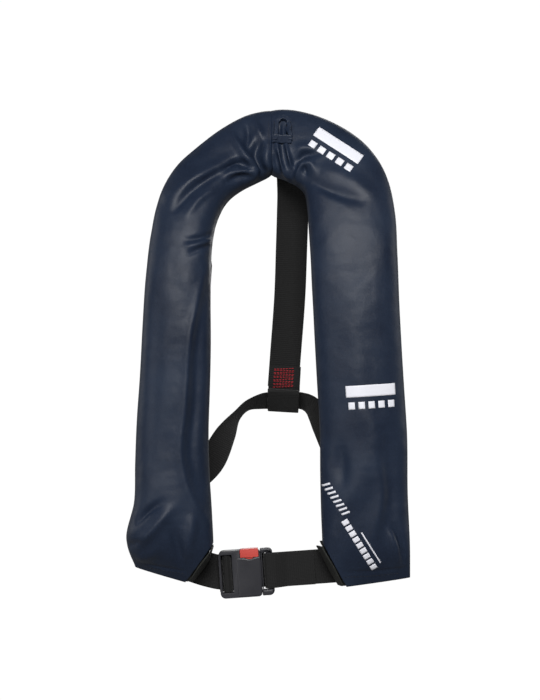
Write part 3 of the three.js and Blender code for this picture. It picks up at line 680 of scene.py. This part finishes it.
def add_back_of_cover(side, sections, looks):
    inner = inner_edge(sections)[:BACK_RINGS]
    panel = cover_strip(f"back_panel_{side}_cloth", sections, inner, 0.96, PANEL_BEHIND, 0.0014, 0.0005,
                        slice(0, BACK_RINGS))
    cut_corner(panel, side, CORNER_TRIM)
    close_ends(panel)
    dress(panel, looks["lining"], "jacket", "lining_fabric", f"back_panel_{side}")
    for kind, back in (("hook", 0.0010), ("loop", 0.0022)):
        tape = cover_strip(f"{kind}_tape_{side}_pile", sections, 0.52, 0.9, back, 0.0007, rows=slice(6, 146))
        close_ends(tape)
        dress(tape, looks["pile"], "jacket", "closure_tape", f"{kind}_tape_{side}")
    for edge, at in (("inner", inner[:, None]), ("outer", 0.96)):
        binding = edge_binding(f"binding_{edge}_{side}", sections, at, PANEL_BEHIND, side)
        dress(binding, looks["webbing"], "jacket", "black_webbing")


def edge_binding(name, sections, at, back, side, radius=(0.0022, 0.0013)):
    """A folded tape bound over the back panel's edge."""
    middle, across, front, _, behind, _ = (part[:BACK_RINGS] for part in sections)
    centre = middle + across * at - front * (behind[:, None] + back)
    angle = 2 * np.pi * np.arange(10) / 10
    wide = unit(across)[:, None] * (radius[0] * np.cos(angle))[None, :, None]
    deep = front[:, None] * (radius[1] * np.sin(angle))[None, :, None]
    binding = grid_object(name, centre[:, None] + wide + deep, cyclic=True)
    cut_corner(binding, side, CORNER_TRIM)
    close_ends(binding)
    return binding


def add_bladder(left, right, looks):
    """The folded bladder: a pleated pack round the whole horseshoe, thin behind the hardware."""
    rows = []
    for sections, thin_from in ((left, 0.19), (right, 0.245)):
        middle, across, front, ahead, behind, _ = sections
        c, s = round_section(48)
        w = 0.8 * squared_off(c, 2 / 3)
        n = squared_off(s, 2 / 3)
        share = np.clip((-middle[:, 2] - thin_from) / 0.03, 0, 1)[:, None]
        fullness = 0.62 - 0.3 * np.clip((middle[:, 2] + 0.07) / 0.05, 0, 1)
        top = (1 - share) * (ahead * fullness)[:, None] + share * (-behind[:, None] + 0.0105)
        low = -behind[:, None] + 0.005
        depth = low + (top - low) * (n[None] + 1) / 2 + 0.0011 * np.sin(w * 22) * (n[None] > 0)
        ring = middle[:, None] + across[:, None] * w[None, :, None] + front[:, None] * depth[:, :, None]
        rows.append(ring[3:150])
    whole = np.concatenate([rows[0][::-1], rows[1][:, ::-1]])
    bladder = grid_object("folded_bladder", whole, cyclic=True)
    close_ends(bladder)
    dress(bladder, looks["bladder"], "jacket", "bladder_film", "bladder")


def dress(obj, material, body, slot, *nodes):
    """Gives a finished piece its material and its body, and hides the CAD nodes that it stands for."""
    if not obj.data.materials:
        obj.data.materials.append(material)
    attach(obj, body)
    if nodes:
        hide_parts(*nodes)
    return obj


# Webbing


def ribbon(name, stops, width, thickness, count, closed=False):
    """Webbing along stops in mm: x, y, z and the direction across it. Its edges are a woven selvedge."""
    table = np.array(stops, float)
    if closed:
        rows = spline(np.concatenate([table, table[:1]]), count + 1)[:-1]
        along = unit(np.roll(rows[:, :3], -1, axis=0) - np.roll(rows[:, :3], 1, axis=0))
    else:
        rows = spline(table, count)
        along = unit(np.gradient(rows[:, :3], axis=0))
    across = unit(rows[:, 3:] - along * np.sum(rows[:, 3:] * along, axis=1, keepdims=True))
    face = np.cross(along, across)
    c, s = round_section(28)
    u = width / 2 * squared_off(c, 2 / 9)
    edge = 1 + 0.25 * np.exp(-(((width / 2 - np.abs(u)) / 2.2) ** 2))
    v = thickness / 2 * squared_off(s, 2 / 3) * edge
    points = rows[:, None, :3] + across[:, None] * u[None, :, None] + face[:, None] * v[None, :, None]
    points = points * MM
    if closed:
        points = np.concatenate([points, points[:1]])
    tape = grid_object(name, points, cyclic=True)
    (weld if closed else close_ends)(tape)
    return tape


def stitches(name, route, normals, length, gap, thick, material):
    """Short raised threads along a route of points, in metres, lying on a surface with those normals."""
    route = np.asarray(route, float)
    normals = np.asarray(normals, float)
    reach = np.concatenate([[0], np.cumsum(np.linalg.norm(np.diff(route, axis=0), axis=1))])
    starts = np.arange(gap / 2, reach[-1] - length, length + gap)
    verts, faces = [], []
    profile = [(-0.5, 0.15), (-0.3, 0.85), (0, 1.0), (0.3, 0.85), (0.5, 0.15)]

    def read(values, at):
        return np.array([np.interp(at, reach, values[:, k]) for k in range(3)])

    for start in starts:
        base = len(verts)
        for share, rise in profile:
            at = start + length * (share + 0.5)
            point = read(route, at)
            normal = unit(read(normals, at))
            ahead = read(route, at + 1e-4) - read(route, at - 1e-4)
            side = unit(np.cross(ahead + 1e-9, normal))
            for turn in range(6):
                angle = math.pi / 3 * turn
                spread = thick * (0.35 + 0.65 * rise)
                lift = thick * (rise - 0.5)
                offset = side * math.cos(angle) * spread + normal * (math.sin(angle) * spread + lift)
                verts.append(point + offset)
        for ring in range(len(profile) - 1):
            for turn in range(6):
                a, b = base + ring * 6 + turn, base + ring * 6 + (turn + 1) % 6
                faces.append((a, b, b + 6, a + 6))
        end = base + (len(profile) - 1) * 6
        faces += [tuple(range(base + 5, base - 1, -1)), tuple(range(end, end + 6))]
    mesh = bpy.data.meshes.new(name)
    mesh.from_pydata([tuple(v) for v in verts], [], faces)
    mesh.polygons.foreach_set("use_smooth", [True] * len(mesh.polygons))
    obj = link(bpy.data.objects.new(name, mesh))
    obj.data.materials.append(material)
    return obj


# The webbing's routes repeat the frame's, in millimetres, each stop with the direction across it.
BACK_STRAP = [
    (29.5, 33.8, 46, 1, 0, 0), (29.5, 25.4, 28, 1, 0, 0), (30, 17.8, 11, 1, 0, 0),
    (30.5, 14.8, -4, 1, 0, 0), (31, 21, -20, 1, 0, 0), (30.6, 33, -42, 1, 0, 0),
    (29.5, 45, -80, 1, 0, 0), (27.5, 58, -140, 1, 0, -0.03), (22.5, 68, -210, 1, 0, -0.05),
    (19.5, 72, -251, 1, 0, -0.06),
]
WAIST_BELT = [
    (-67, -17.8, -461.5, 0.12, 0, 1), (-88, -20, -454.5, 0.28, 0, 0.96), (-114, -19, -446.5, 0.28, 0, 0.96),
    (-135, -9, -435, 0.2, 0, 0.97), (-140, 12, -415, -0.1, -0.1, 1), (-124, 36, -386, -0.35, -0.45, 0.82),
    (-96, 51, -366, -0.55, -0.45, 0.7), (-69, 57, -342, -0.62, -0.5, 0.55),
    (-51, 61, -309, -0.5, -0.75, 0.4), (-37, 65, -286, -0.2, -0.95, 0.2),
    (-24, 68, -273.5, -0.1, -0.95, 0.3), (-6, 70.8, -268.4, 0, -0.86, 0.5),
    (19.5, 71, -268, 0, -0.84, 0.545), (43, 70.8, -268.4, 0, -0.84, 0.545),
    (57, 65, -278, 0.25, -0.7, 0.6), (69, 58.5, -298, 0.5, -0.6, 0.5), (84, 51, -328, 0.5, -0.45, 0.6),
    (112, 36, -368, 0.3, -0.3, 0.9), (137, 12, -409, 0.1, -0.1, 1), (134, -11, -436, -0.05, 0, 1),
    (116, -18, -448.5, -0.08, 0, 1), (96, -18.4, -452.5, -0.08, 0, 1),
]
BUCKLE_TILT = math.radians(4)
BUCKLE_CENTRE = np.array([-24, -26.5, -462.5])
BUCKLE_X = np.array([math.cos(BUCKLE_TILT), 0, math.sin(BUCKLE_TILT)])
BUCKLE_Z = np.array([-math.sin(BUCKLE_TILT), 0, math.cos(BUCKLE_TILT)])


def on_buckle(x, y, z=0.0):
    return BUCKLE_CENTRE + BUCKLE_X * x + np.array([0, y, 0]) + BUCKLE_Z * z


def buckle_stops(points):
    return [(*on_buckle(x, y), *BUCKLE_Z) for x, y in points]


def add_webbing(looks):
    web = looks["webbing"]
    strap = ribbon("back_strap_web", BACK_STRAP, 38, 1.7, 120)
    dress(strap, web, "jacket", "black_webbing", "back_strap")
    behind_buckle = [(*on_buckle(x, 8.7), -0.07, 0, 1) for x in (22, 0, -28)]
    belt = ribbon("waist_belt_web", behind_buckle + WAIST_BELT, 40, 1.7, 330)
    dress(belt, web, "jacket", "black_webbing", "waist_belt")
    tongue_route = [(x, 4) for x in range(128, 26, -20)]
    for degrees in range(90, 271, 30):
        turn = math.radians(degrees)
        tongue_route.append((25.4 + 4 * math.cos(turn), 4 * math.sin(turn)))
    tongue_route += [(33, -3.9), (40, -1.2), (47, 1.5), (54, 1.8), (66, 1.8), (79, 1.8)]
    tongue = ribbon("tongue_web", buckle_stops(tongue_route), 40, 1.7, 150)
    dress(tongue, web, "tongue", "black_webbing", "tongue_webbing")
    wrap_route = [
        (-32, 6.2), (-30, 6.2), (-28.6, 6.1), (-26.8, 4.2), (-26.3, 0), (-25, -3.4), (-22, -4.8),
        (-19, -3.4), (-17.7, 0), (-17.2, 4.2), (-15.4, 6.1), (-10, 6.2), (2, 6.2),
    ]
    wrap = ribbon("adjuster_web", buckle_stops(wrap_route), 43.6, 1.6, 110)
    dress(wrap, web, "buckle", "black_webbing", "adjuster_webbing")


def add_strap_end(looks):
    """The back strap's end: doubled, stitched in red, and folded to a ring round the belt."""
    tilt = math.radians(-33)
    centre = np.array([19.5, 71, -268])
    stops = []
    for step in range(36):
        angle = 2 * math.pi * step / 36
        deep, high = 24 * math.cos(angle), 7 * math.sin(angle)
        y = deep * math.cos(tilt) - high * math.sin(tilt)
        z = deep * math.sin(tilt) + high * math.cos(tilt)
        stops.append((centre[0], centre[1] + y * 0.96, centre[2] + z * 0.96, 1, 0, -0.06))
    ring = ribbon("back_strap_ring_web", stops, 38, 1.7, 120, closed=True)
    dress(ring, looks["webbing"], "jacket", "black_webbing", "back_strap_ring")
    low, high = -256.5, -225.5
    front_y = 66.6
    flap = ribbon("ring_stitch_flap", [
        (20.6, front_y + 1.0, low, 1, 0, -0.06), (20.6, front_y - 0.2, low + 6, 1, 0, -0.06),
        (21.2, front_y - 0.8, -240, 1, 0, -0.06), (22.0, front_y - 0.2, high, 1, 0, -0.06),
    ], 38.6, 1.6, 30)
    dress(flap, looks["webbing"], "jacket", "black_webbing", "ring_stitch_pad")
    for number in range(11):
        z = high - 3.2 - number * 2.2
        middle = 21.3 + (z + 240) * 0.06
        half = 14.2 - 0.5 * (number % 2)
        lean = 0.5 * (-1) ** number
        ends = (middle - half, z - lean), (middle + half, z + lean)
        route = [np.array([x, front_y - 1.55, z]) * MM for x, z in ends]
        thread = stitches(f"red_stitches_{number}", route, [(0, -1, 0)] * 2, 0.0030, 0.0006, 0.0006,
                          looks["red_thread"])
        dress(thread, looks["red_thread"], "jacket", "red_plastic")


# Things laid on the cover


def surface_of(obj):
    """The surface of a piece, for rays to meet."""
    verts = [v.co.copy() for v in obj.data.vertices]
    return BVHTree.FromPolygons(verts, [list(p.vertices) for p in obj.data.polygons])


def lay_on(tree, places, lift):
    """Points of the surface seen from the front at places (x, z in mm), raised by lift, and normals."""
    points, normals = [], []
    last = None
    for x, z in np.asarray(places, float).reshape(-1, 2) * MM:
        hit, normal, _, _ = tree.ray_cast(Vector((x, -0.3, z)), Vector((0, 1, 0)))
        if hit is None:
            hit, normal = last if last else (Vector((x, -0.054, z)), Vector((0, -1, 0)))
            hit = Vector((x, hit.y, z))
        last = (hit, normal)
        points.append(np.array(hit + normal * lift * MM))
        normals.append(np.array(normal))
    return np.array(points), np.array(normals)


def patch_on(name, tree, corners, lift, thick, rows, columns):
    """A thin patch over the surface between four corners (x, z in mm), closed all round."""
    a, b, c, d = (np.array(p, float) for p in corners)
    u = np.linspace(0, 1, columns)[None, :, None]
    v = np.linspace(0, 1, rows)[:, None, None]
    flat = a * (1 - u) * (1 - v) + b * u * (1 - v) + c * u * v + d * (1 - u) * v
    top, normals = lay_on(tree, flat, lift)
    patch = grid_object(name, top.reshape(rows, columns, 3))
    return thicken(patch, thick, 1 if np.dot(normals_of(patch)[0], normals[0]) < 0 else -1)


def print_block(name, tree, origin, ahead, size, looks):
    """One printed block: its middle and direction on the front (x, z in mm) and its length and height."""
    ahead = np.array(ahead, float) / np.hypot(*ahead)
    flank = np.array([-ahead[1], ahead[0]])
    origin = np.array(origin, float)
    a, b = ahead * size[0] / 2, flank * size[1] / 2
    corners = (origin - a + b, origin + a + b, origin + a - b, origin - a - b)
    rows, columns = (max(3, int(round(length / 1.6)) + 1) for length in (size[1], size[0]))
    mark = patch_on(name, tree, corners, 0.25, 0.2, rows, columns)
    dress(mark, looks["print"], "jacket", "navy_fabric")


def add_marks(tree, looks):
    """Plain printed blocks, where the jacket carries its reflective marks."""
    blocks = (("chest", (116.5, -257), (1, 0.06), 56), ("shoulder", (79, 26), (54, -38), 62))
    for place, centre, ahead, width in blocks:
        ahead = np.array(ahead, float) / np.hypot(*ahead)
        flank = np.array([-ahead[1], ahead[0]])
        centre = np.array(centre, float)
        print_block(f"{place}_bar", tree, centre + flank * 6, ahead, (width, 13), looks)
        for number in range(5):
            at = centre - flank * 10 + ahead * width * (number - 2) / 5
            print_block(f"{place}_block_{number}", tree, at, ahead, (width / 5 - 4, 8), looks)
    first, step = np.array([66.5, -357.5]), np.array([3.1, -4.4])
    for number in range(8):
        print_block(f"dash_{number}", tree, first + step * number, (8, 3), (9.5, 2.3), looks)
    ahead = unit(np.array([20.0, -32.0]))
    first = np.array([88.0, -399.0])
    for number in range(9):
        print_block(f"corner_block_{number}", tree, first + ahead * 7.6 * number, ahead, (5.8, 7.5), looks)
    print_block("corner_line", tree, (117, -428), ahead, (42, 1.6), looks)


# Fittings on the cover: hanging loop, keeper, corner gussets, belt sleeves, anchor patch, topstitching by the
# nape seam and the hem


def stops_on(tree, places, lift, upright=None):
    """Ribbon stops on the surface through places (x, z in mm), across the route or along upright."""
    line = spline(np.column_stack([np.array(places, float), np.zeros(len(places))]), 24)[:, :2]
    points, normals = lay_on(tree, line, lift)
    along = np.gradient(points, axis=0)
    across = np.cross(along, normals) if upright is None else np.tile(upright, (len(points), 1))
    return np.concatenate([points / MM, unit(np.array(across, float))], axis=1)


def add_collar_fittings(tree, looks):
    arch = [
        (10, 36), (10, 48), (10.5, 56), (13.5, 61.5), (18.5, 63.5), (23.5, 61.5), (26.5, 56), (27, 48),
        (27, 36),
    ]
    loop = ribbon("hanging_loop_tape", stops_on(tree, arch, 2.6), 5.2, 4.2, 70)
    dress(loop, looks["navy"], "jacket", "navy_fabric", "hanging_loop")
    across_loop = stops_on(tree, [(6.6, 37.6), (17, 37.4), (28.6, 37)], 3.4, (0, -0.25, 0.97))
    keeper = ribbon("loop_keeper_tab", across_loop, 9.4, 2.2, 30)
    dress(keeper, looks["navy"], "jacket", "navy_fabric", "loop_keeper")


def add_gusset(side, tree, looks):
    """The charcoal strip that closes a lobe's slanted corner, from the cover's edge to the back."""
    low, high = (np.array(p, float)[[0, 2]] for p in CORNERS[side])
    _, out = corner_plane(side)
    out = out[[0, 2]]
    s = np.linspace(0.06, 0.93 if side == "left" else 1.0, 40)[:, None]
    line = low + (high - low) * s
    seen, _ = lay_on(tree, line - out * 3.5, 0)
    t = np.linspace(0, 1, 14)
    front_y = seen[:, 1] / MM + 1.5
    y = front_y[:, None] + (-31.5 - front_y[:, None]) * t[None]
    spread = 1 - 0.8 * np.clip((s - 0.65) / 0.28, 0, 1) if side == "left" else 1
    push = 0.2 + 6.5 * t**0.8 * spread + 0.35 * np.sin(9 * s + 4 * t[None])
    x = line[:, :1] + out[0] * push
    z = line[:, 1:] + out[1] * push
    strip = thicken(grid_object(f"corner_gusset_{side}_cloth", np.stack([x, y, z], axis=2) * MM), 1.4, 0)
    dress(strip, looks["charcoal"], "jacket", "black_fabric", f"corner_gusset_{side}")


# Each belt sleeve's middle in mm and its slope in degrees.
SLEEVES = {"left": ((-87, -21, -450.5), -15), "right": ((86, -21, -452.5), 4)}
SLEEVE_REACH = 23
SLEEVE_HALF_HEIGHT = {"left": 24.5, "right": 27}


def add_sleeve(side, looks):
    """A flat tunnel behind the lobe that the belt runs through, cut along the slanted corner."""
    centre, slope = SLEEVES[side]
    centre = np.array(centre, float)
    turn = math.radians(slope)
    along = np.array([math.cos(turn), 0, math.sin(turn)])
    up = np.array([-math.sin(turn), 0, math.cos(turn)])
    toward = 1 if side == "left" else -1
    point, out = corner_plane(side)
    point = point / MM
    c, s = round_section(64)
    share = np.linspace(0, 1, 18)[:, None]
    walls = []
    half = SLEEVE_HALF_HEIGHT[side]
    for deep, high in ((6.5, half), (5.6, half - 1)):
        high_at = high * squared_off(c, 1 / 3)
        deep_at = deep * squared_off(s, 2 / 3)
        from_plane = (centre - point) @ out + high_at * (up @ out)
        near = toward * np.minimum(SLEEVE_REACH, toward * (1.6 - from_plane) / (along @ out))
        reach = -toward * SLEEVE_REACH + (near + toward * SLEEVE_REACH) * share
        ripple = 0.35 * np.sin(reach * 0.5 + high_at * 0.25)
        place = centre + along * reach[..., None] + up * high_at[None, :, None]
        place[..., 1] += deep_at + ripple
        walls.append(place)
    rows = np.concatenate([walls[0], walls[1][::-1], walls[0][:1]]) * MM
    sleeve = grid_object(f"belt_sleeve_{side}_cloth", rows, cyclic=True)
    weld(sleeve)
    dress(sleeve, looks["charcoal"], "jacket", "black_fabric", f"belt_sleeve_{side}")


def add_anchor_patch(looks):
    """The sewn patch behind the collar that the back strap hangs from."""
    lean = math.radians(25)
    across = np.array([1.0, 0, 0])
    up = np.array([0, math.sin(lean), math.cos(lean)])
    face = np.array([0, math.cos(lean), -math.sin(lean)])
    centre = np.array([29.5, 28.2, 28.0])
    stops = [(*(centre + up * v), *across) for v in np.linspace(-16.5, 16.5, 8)]
    patch = ribbon("strap_anchor_cloth", stops, 54, 1.0, 30)
    dress(patch, looks["charcoal"], "jacket", "black_fabric", "strap_anchor_patch")
    corners = [(-25, -14.5), (25, -14.5), (25, 14.5), (-25, 14.5), (-25, -14.5)]
    route = [(centre + across * u + up * v + face * 0.6) * MM for u, v in corners]
    thread = stitches("anchor_stitches", route, [face] * 5, 0.0022, 0.0012, 0.0003, looks["thread"])
    dress(thread, looks["thread"], "jacket", "black_webbing")


def add_topstitch(side, tree, looks):
    """Rows of small stitches beside the nape seam and above the hem."""
    if side == "right":
        routes = [[(8.2, 62), (8.0, 40), (8.0, 20)], [(78, -463), (110, -462), (150, -459)]]
    else:
        routes = [[(1.8, 62), (2.0, 40), (2.0, 22)], [(-94, -458), (-112, -456), (-136, -452)]]
    for number, places in enumerate(routes):
        stops = stops_on(tree, places, 0.15)
        line, normals = lay_on(tree, stops[:, [0, 2]], 0.1)
        name = f"topstitch_{side}_{number}"
        thread = stitches(name, line, normals, 0.0024, 0.0011, 0.00025, looks["thread"])
        dress(thread, looks["thread"], "jacket", "navy_fabric")


# Hard parts


def hard_copy(node, material, slot, width):
    """A finished piece from a CAD solid: its flats made whole, its edges rounded by width mm."""
    source = frame["nodes"][node]
    bm = bmesh.new()
    bm.from_mesh(source.data)
    bmesh.ops.remove_doubles(bm, verts=bm.verts, dist=2e-5)
    bmesh.ops.dissolve_limit(bm, angle_limit=math.radians(2), verts=bm.verts, edges=bm.edges)
    mesh = bpy.data.meshes.new(f"{node}_finished")
    bm.to_mesh(mesh)
    bm.free()
    obj = link(bpy.data.objects.new(mesh.name, mesh))
    bevel = obj.modifiers.new("bevel", "BEVEL")
    bevel.width = width * MM
    bevel.segments = 3
    bevel.limit_method = "ANGLE"
    bevel.angle_limit = math.radians(38)
    bevel.use_clamp_overlap = True
    apply_modifiers(obj)
    obj.data.polygons.foreach_set("use_smooth", [True] * len(obj.data.polygons))
    obj.data.set_sharp_from_angle(angle=math.radians(38))
    return dress(obj, material, source["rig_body"], slot, node)


def rounded_rectangle(low_x, high_x, low_z, high_z, radii, inset):
    """Points round a rectangle, with a radius for each corner from the lower left, anticlockwise.

    The top edge has points along it, so that a sculpt function can shape it.
    """
    x0, x1, z0, z1 = low_x + inset, high_x - inset, low_z + inset, high_z - inset
    corners = ((x0, z0, 1, 1, 180), (x1, z0, -1, 1, 270), (x1, z1, -1, -1, 0), (x0, z1, 1, -1, 90))
    points = []
    for (x, z, sx, sz, first), radius in zip(corners, radii):
        r = max(radius - inset, 0.15)
        for step in range(7):
            turn = math.radians(first + 15 * step)
            points.append((x + sx * r + r * math.cos(turn), z + sz * r + r * math.sin(turn)))
        if first == 0:
            start, end = points[-1], (x0 + max(radii[3] - inset, 0.15), z1)
            points += [tuple(np.array(start) + (np.array(end) - start) * k / 14) for k in range(1, 14)]
    return np.array(points)


def pressing(name, rectangle, radii, levels, sculpt=None):
    """A moulded plate in the buckle's frame: rings of a rounded rectangle at each (inset, y)."""
    rows = []
    for inset, y in levels:
        ring = rounded_rectangle(*rectangle, radii, inset)
        depth = np.full(len(ring), float(y))
        rows.append(np.column_stack([ring[:, 0], depth, ring[:, 1]]))
    rows = np.array(rows)
    if sculpt:
        rows = sculpt(rows)
    place = BUCKLE_CENTRE + rows[..., :1] * BUCKLE_X + rows[..., 2:] * BUCKLE_Z
    place[..., 1] += rows[..., 1]
    obj = grid_object(name, place * MM, cyclic=True)
    close_ends(obj)
    return obj


def plate_levels(back, edge, reach, rounding=0.7):
    """Levels from the back's middle, round the edge, and over the front to its middle."""
    levels = [(reach, back), (0.4, back), (0, back - 0.3), (0, edge + rounding)]
    levels += [(rounding * 0.1, edge + rounding * 0.55), (rounding * 0.35, edge + rounding * 0.2)]
    for step in range(9):
        levels.append((rounding + (reach - rounding) * step / 8, edge))
    return levels


def crowned(middle, half, rise):
    """Bulges a plate's front across its width."""

    def sculpt(rows):
        rows[6:, :, 1] -= rise * (1 - ((rows[6:, :, 0] - middle) / half) ** 2)
        return rows

    return sculpt


def panel_shape(rows):
    """The panel is crowned across, dips in the middle of its top edge, and leaves room for the button."""
    rows = crowned(3.5, 13.8, 1.1)(rows)
    by_button = rows[:6, :, 2] > 13.9
    rows[:6, :, 1] = np.where(by_button, np.minimum(rows[:6, :, 1], -8.02), rows[:6, :, 1])
    dip = np.clip(1 - np.abs(rows[..., 0] - 4.9) / 7, 0, 1) * np.clip((rows[..., 2] - 12) / 5, 0, 1)
    rows[..., 2] -= 2.2 * dip
    return rows


def add_buckle(looks):
    black, red = looks["black_plastic"], looks["red_plastic"]
    hard_copy("buckle_housing", black, "black_plastic", 0.7)
    hard_copy("tongue", black, "black_plastic", 0.8)
    hard_copy("release_button", red, "red_plastic", 0.5)
    panel = pressing("buckle_face_panel", (-10.3, 17.3, -27.8, 17.9), (2.5, 4.5, 0.8, 0.8),
                     plate_levels(-7.42, -8.1, 13.0), panel_shape)
    dress(panel, black, "buckle", "black_plastic", "buckle_face_plate")
    shoulders = (("upper", 21.6, 26.4, (0.5, 0.5, 4.6, 1.2)), ("lower", -27.9, -21.6, (1.2, 6, 0.5, 0.5)))
    levels = [(2.2, 3.3), (0.4, 3.3), (0, 2.6), (0, -3.4), (0.3, -4.1), (0.9, -4.4), (2.2, -4.5)]
    for name, low, high, radii in shoulders:
        shoulder = pressing(f"tongue_shoulder_{name}", (17.3, 31.4, low, high), radii, levels)
        dress(shoulder, black, "tongue", "black_plastic")


# Look, slot, width of the rounded edges in mm, and the nodes.
FITTINGS = [
    ("black_plastic", "black_plastic", 0.5, ("inflator_head", "mouth_tube", "dust_cap")),
    ("red_plastic", "red_plastic", 0.35, ("water_sensor_cap", "pull_handle", "valve_poppet")),
    ("clear_plastic", "clear_plastic", 0.3, ("bladder_valve", "manual_lever", "mouth_valve_body")),
    ("orange_plastic", "orange_plastic", 0.6, ("whistle",)),
    ("steel", "steel", 0.2, ("adjuster_bar", "lock_plate", "lever_pivot", "gas_cylinder", "firing_pin")),
    ("webbing", "black_webbing", 0.35, ("pull_strap", "whistle_holder", "lifting_strap")),
]


def add_fittings(looks):
    for look, slot, width, nodes in FITTINGS:
        for node in nodes:
            hard_copy(node, looks[look], slot, width)
    spring = frame["nodes"]["button_spring"]
    spring.data.materials.clear()
    spring.data.materials.append(looks["steel"])


# Looks


def moulded(name, color, roughness, grain=0.00008, transmission=0.0):
    """Moulded plastic: a fine etched grain and slow changes of gloss, paler along its sharpest convex edges.
    """
    n = Nodes(name)
    where = n.coords("Object")
    etch = n.noise(where, 2200, 2)
    slow = n.noise(where, 60, 3)
    edge = n.add("ShaderNodeNewGeometry").outputs["Pointiness"]
    dark = tuple(c * 0.9 for c in color)
    pale = tuple(min(1, c * 1.35 + 0.01) for c in color)
    body = n.mix(slow, dark, color)
    # Paler colour along sharp convex edges, found by pointiness.
    n.shade(Base_Color=n.mix(n.ramp(edge, 0, 0.5, 0.53, 0.62), body, pale))
    n.shade(Roughness=n.ramp(slow, roughness - 0.05, roughness + 0.06, 0.3, 0.7))
    n.shade(Normal=n.bump(etch, grain, 0.5))
    n.shade(Transmission_Weight=transmission, IOR=1.47)
    return n.material


def brushed_steel():
    n = Nodes("turned_steel")
    where = n.coords("Object")
    stretch = n.add("ShaderNodeMapping", {"Vector": where})
    stretch.inputs["Scale"].default_value = (40, 40, 1400)
    line = n.noise(stretch.outputs["Vector"], 1.0, 3)
    n.shade(Base_Color=n.mix(line, (0.42, 0.43, 0.44), (0.62, 0.62, 0.62)), Metallic=1.0)
    n.shade(Roughness=n.ramp(line, 0.28, 0.42), Normal=n.bump(line, 0.00003, 0.4))
    return n.material


def plain_cloth(name, dark, light, roughness, pitch, fuzz=0.0002):
    """Woven cloth for linings, gussets, pile and the bladder's coated fabric."""
    n = Nodes(name)
    where = n.coords("Object")
    cloud = n.noise(where, 30, 4)
    weave = n.weave(n.coords("UV"), pitch, pitch)
    n.shade(Base_Color=n.mix(cloud, dark, light), Roughness=roughness)
    n.shade(Normal=n.bump(weave, fuzz, 0.6, n.bump(n.noise(where, 500, 3), fuzz, 0.4)))
    n.shade(Specular_IOR_Level=0.4)
    return n.material


def printed_white():
    """Reflective print: slightly grey, with a bead texture and a few scuffs."""
    n = Nodes("printed_white")
    where = n.coords("Object")
    bead = n.noise(where, 1500, 2)
    scuff = n.noise(where, 90, 5, 0.65)
    pale = n.mix(bead, (0.78, 0.79, 0.86), (0.9, 0.9, 0.96))
    n.shade(Base_Color=n.mix(n.ramp(scuff, 0, 0.35, 0.62, 0.75), pale, (0.5, 0.51, 0.58)))
    n.shade(Roughness=n.ramp(bead, 0.4, 0.55), Normal=n.bump(bead, 0.00008, 0.4))
    return n.material


def make_looks():
    return {
        # The navy's dark and light colours are painted shade and painted sheen, mixed by slow noise in
        # satin_nylon.
        "navy": satin_nylon("navy_satin", (0.0065, 0.0115, 0.026), (0.014, 0.0235, 0.046), 0.44),
        "lining": plain_cloth("lining_cloth", (0.008, 0.009, 0.012), (0.014, 0.015, 0.019), 0.7, 0.0012),
        "pile": plain_cloth("closure_pile", (0.006, 0.006, 0.008), (0.012, 0.012, 0.013), 0.85, 0.0009,
                            0.0005),
        "charcoal": plain_cloth("charcoal_cloth", (0.013, 0.014, 0.0125), (0.023, 0.024, 0.02), 0.75, 0.0011),
        "bladder": plain_cloth("bladder_coated_cloth", (0.72, 0.55, 0.02), (0.82, 0.64, 0.03), 0.45, 0.0007),
        "webbing": webbing_cloth("black_webbing", (0.006, 0.006, 0.006), (0.014, 0.014, 0.014)),
        "thread": plain_cloth("dark_thread", (0.011, 0.013, 0.020), (0.020, 0.022, 0.032), 0.6, 0.0005),
        "red_thread": plain_cloth("red_thread", (0.24, 0.010, 0.016), (0.42, 0.024, 0.034), 0.55, 0.0005),
        "print": printed_white(),
        "black_plastic": moulded("moulded_black", (0.027, 0.027, 0.033), 0.42),
        "red_plastic": moulded("moulded_red", (0.62, 0.075, 0.06), 0.4),
        "orange_plastic": moulded("moulded_orange", (0.75, 0.22, 0.02), 0.35),
        "clear_plastic": moulded("clear_moulding", (0.75, 0.78, 0.78), 0.25, 0.00003, 0.55),
        "steel": brushed_steel(),
    }


def add_studio():
    bpy.context.scene.view_settings.view_transform = "Standard"
    add_world(0.10, 1.0)
    add_area_light("key", (0.05, -2.3, 1.0), (0, 0, -0.2), (0.8, 0.8), 58)
    add_area_light("fill", (-1.5, -2.0, -0.2), (0, 0, -0.25), (0.6, 1.6), 10)
    add_area_light("back", (0.5, 2.6, 0.9), (0, 0, -0.2), (1.8, 1.8), 26)
    for side in (-1, 1):
        add_area_light(f"side_{side}", (side * 2.6, 0.6, 0.5), (0, 0, -0.2), (1.2, 1.8), 14)
    add_backdrop()


def main():
    add_camera()
    add_studio()
    looks = make_looks()
    rails = {
        "left": (LEFT_INNER, LEFT_OUTER, LEFT_DEPTH, LEFT_FOLDS),
        "right": (RIGHT_INNER, RIGHT_OUTER, RIGHT_DEPTH, RIGHT_FOLDS),
    }
    sections, trees = {}, {}
    for side, (inner, outer, depth, folds) in rails.items():
        cover = cover_half(f"cover_{side}", side, inner, outer, depth, folds)
        dress(cover, looks["navy"], "jacket", "navy_fabric", f"front_cover_{side}")
        sections[side] = rail_sections(inner, outer, depth)
        trees[side] = surface_of(cover)
        add_back_of_cover(side, sections[side], looks)
        add_gusset(side, trees[side], looks)
        add_sleeve(side, looks)
        add_topstitch(side, trees[side], looks)
    add_bladder(sections["left"], sections["right"], looks)
    add_collar_fittings(trees["right"], looks)
    add_anchor_patch(looks)
    add_marks(trees["right"], looks)
    add_webbing(looks)
    add_strap_end(looks)
    add_buckle(looks)
    add_fittings(looks)


main()
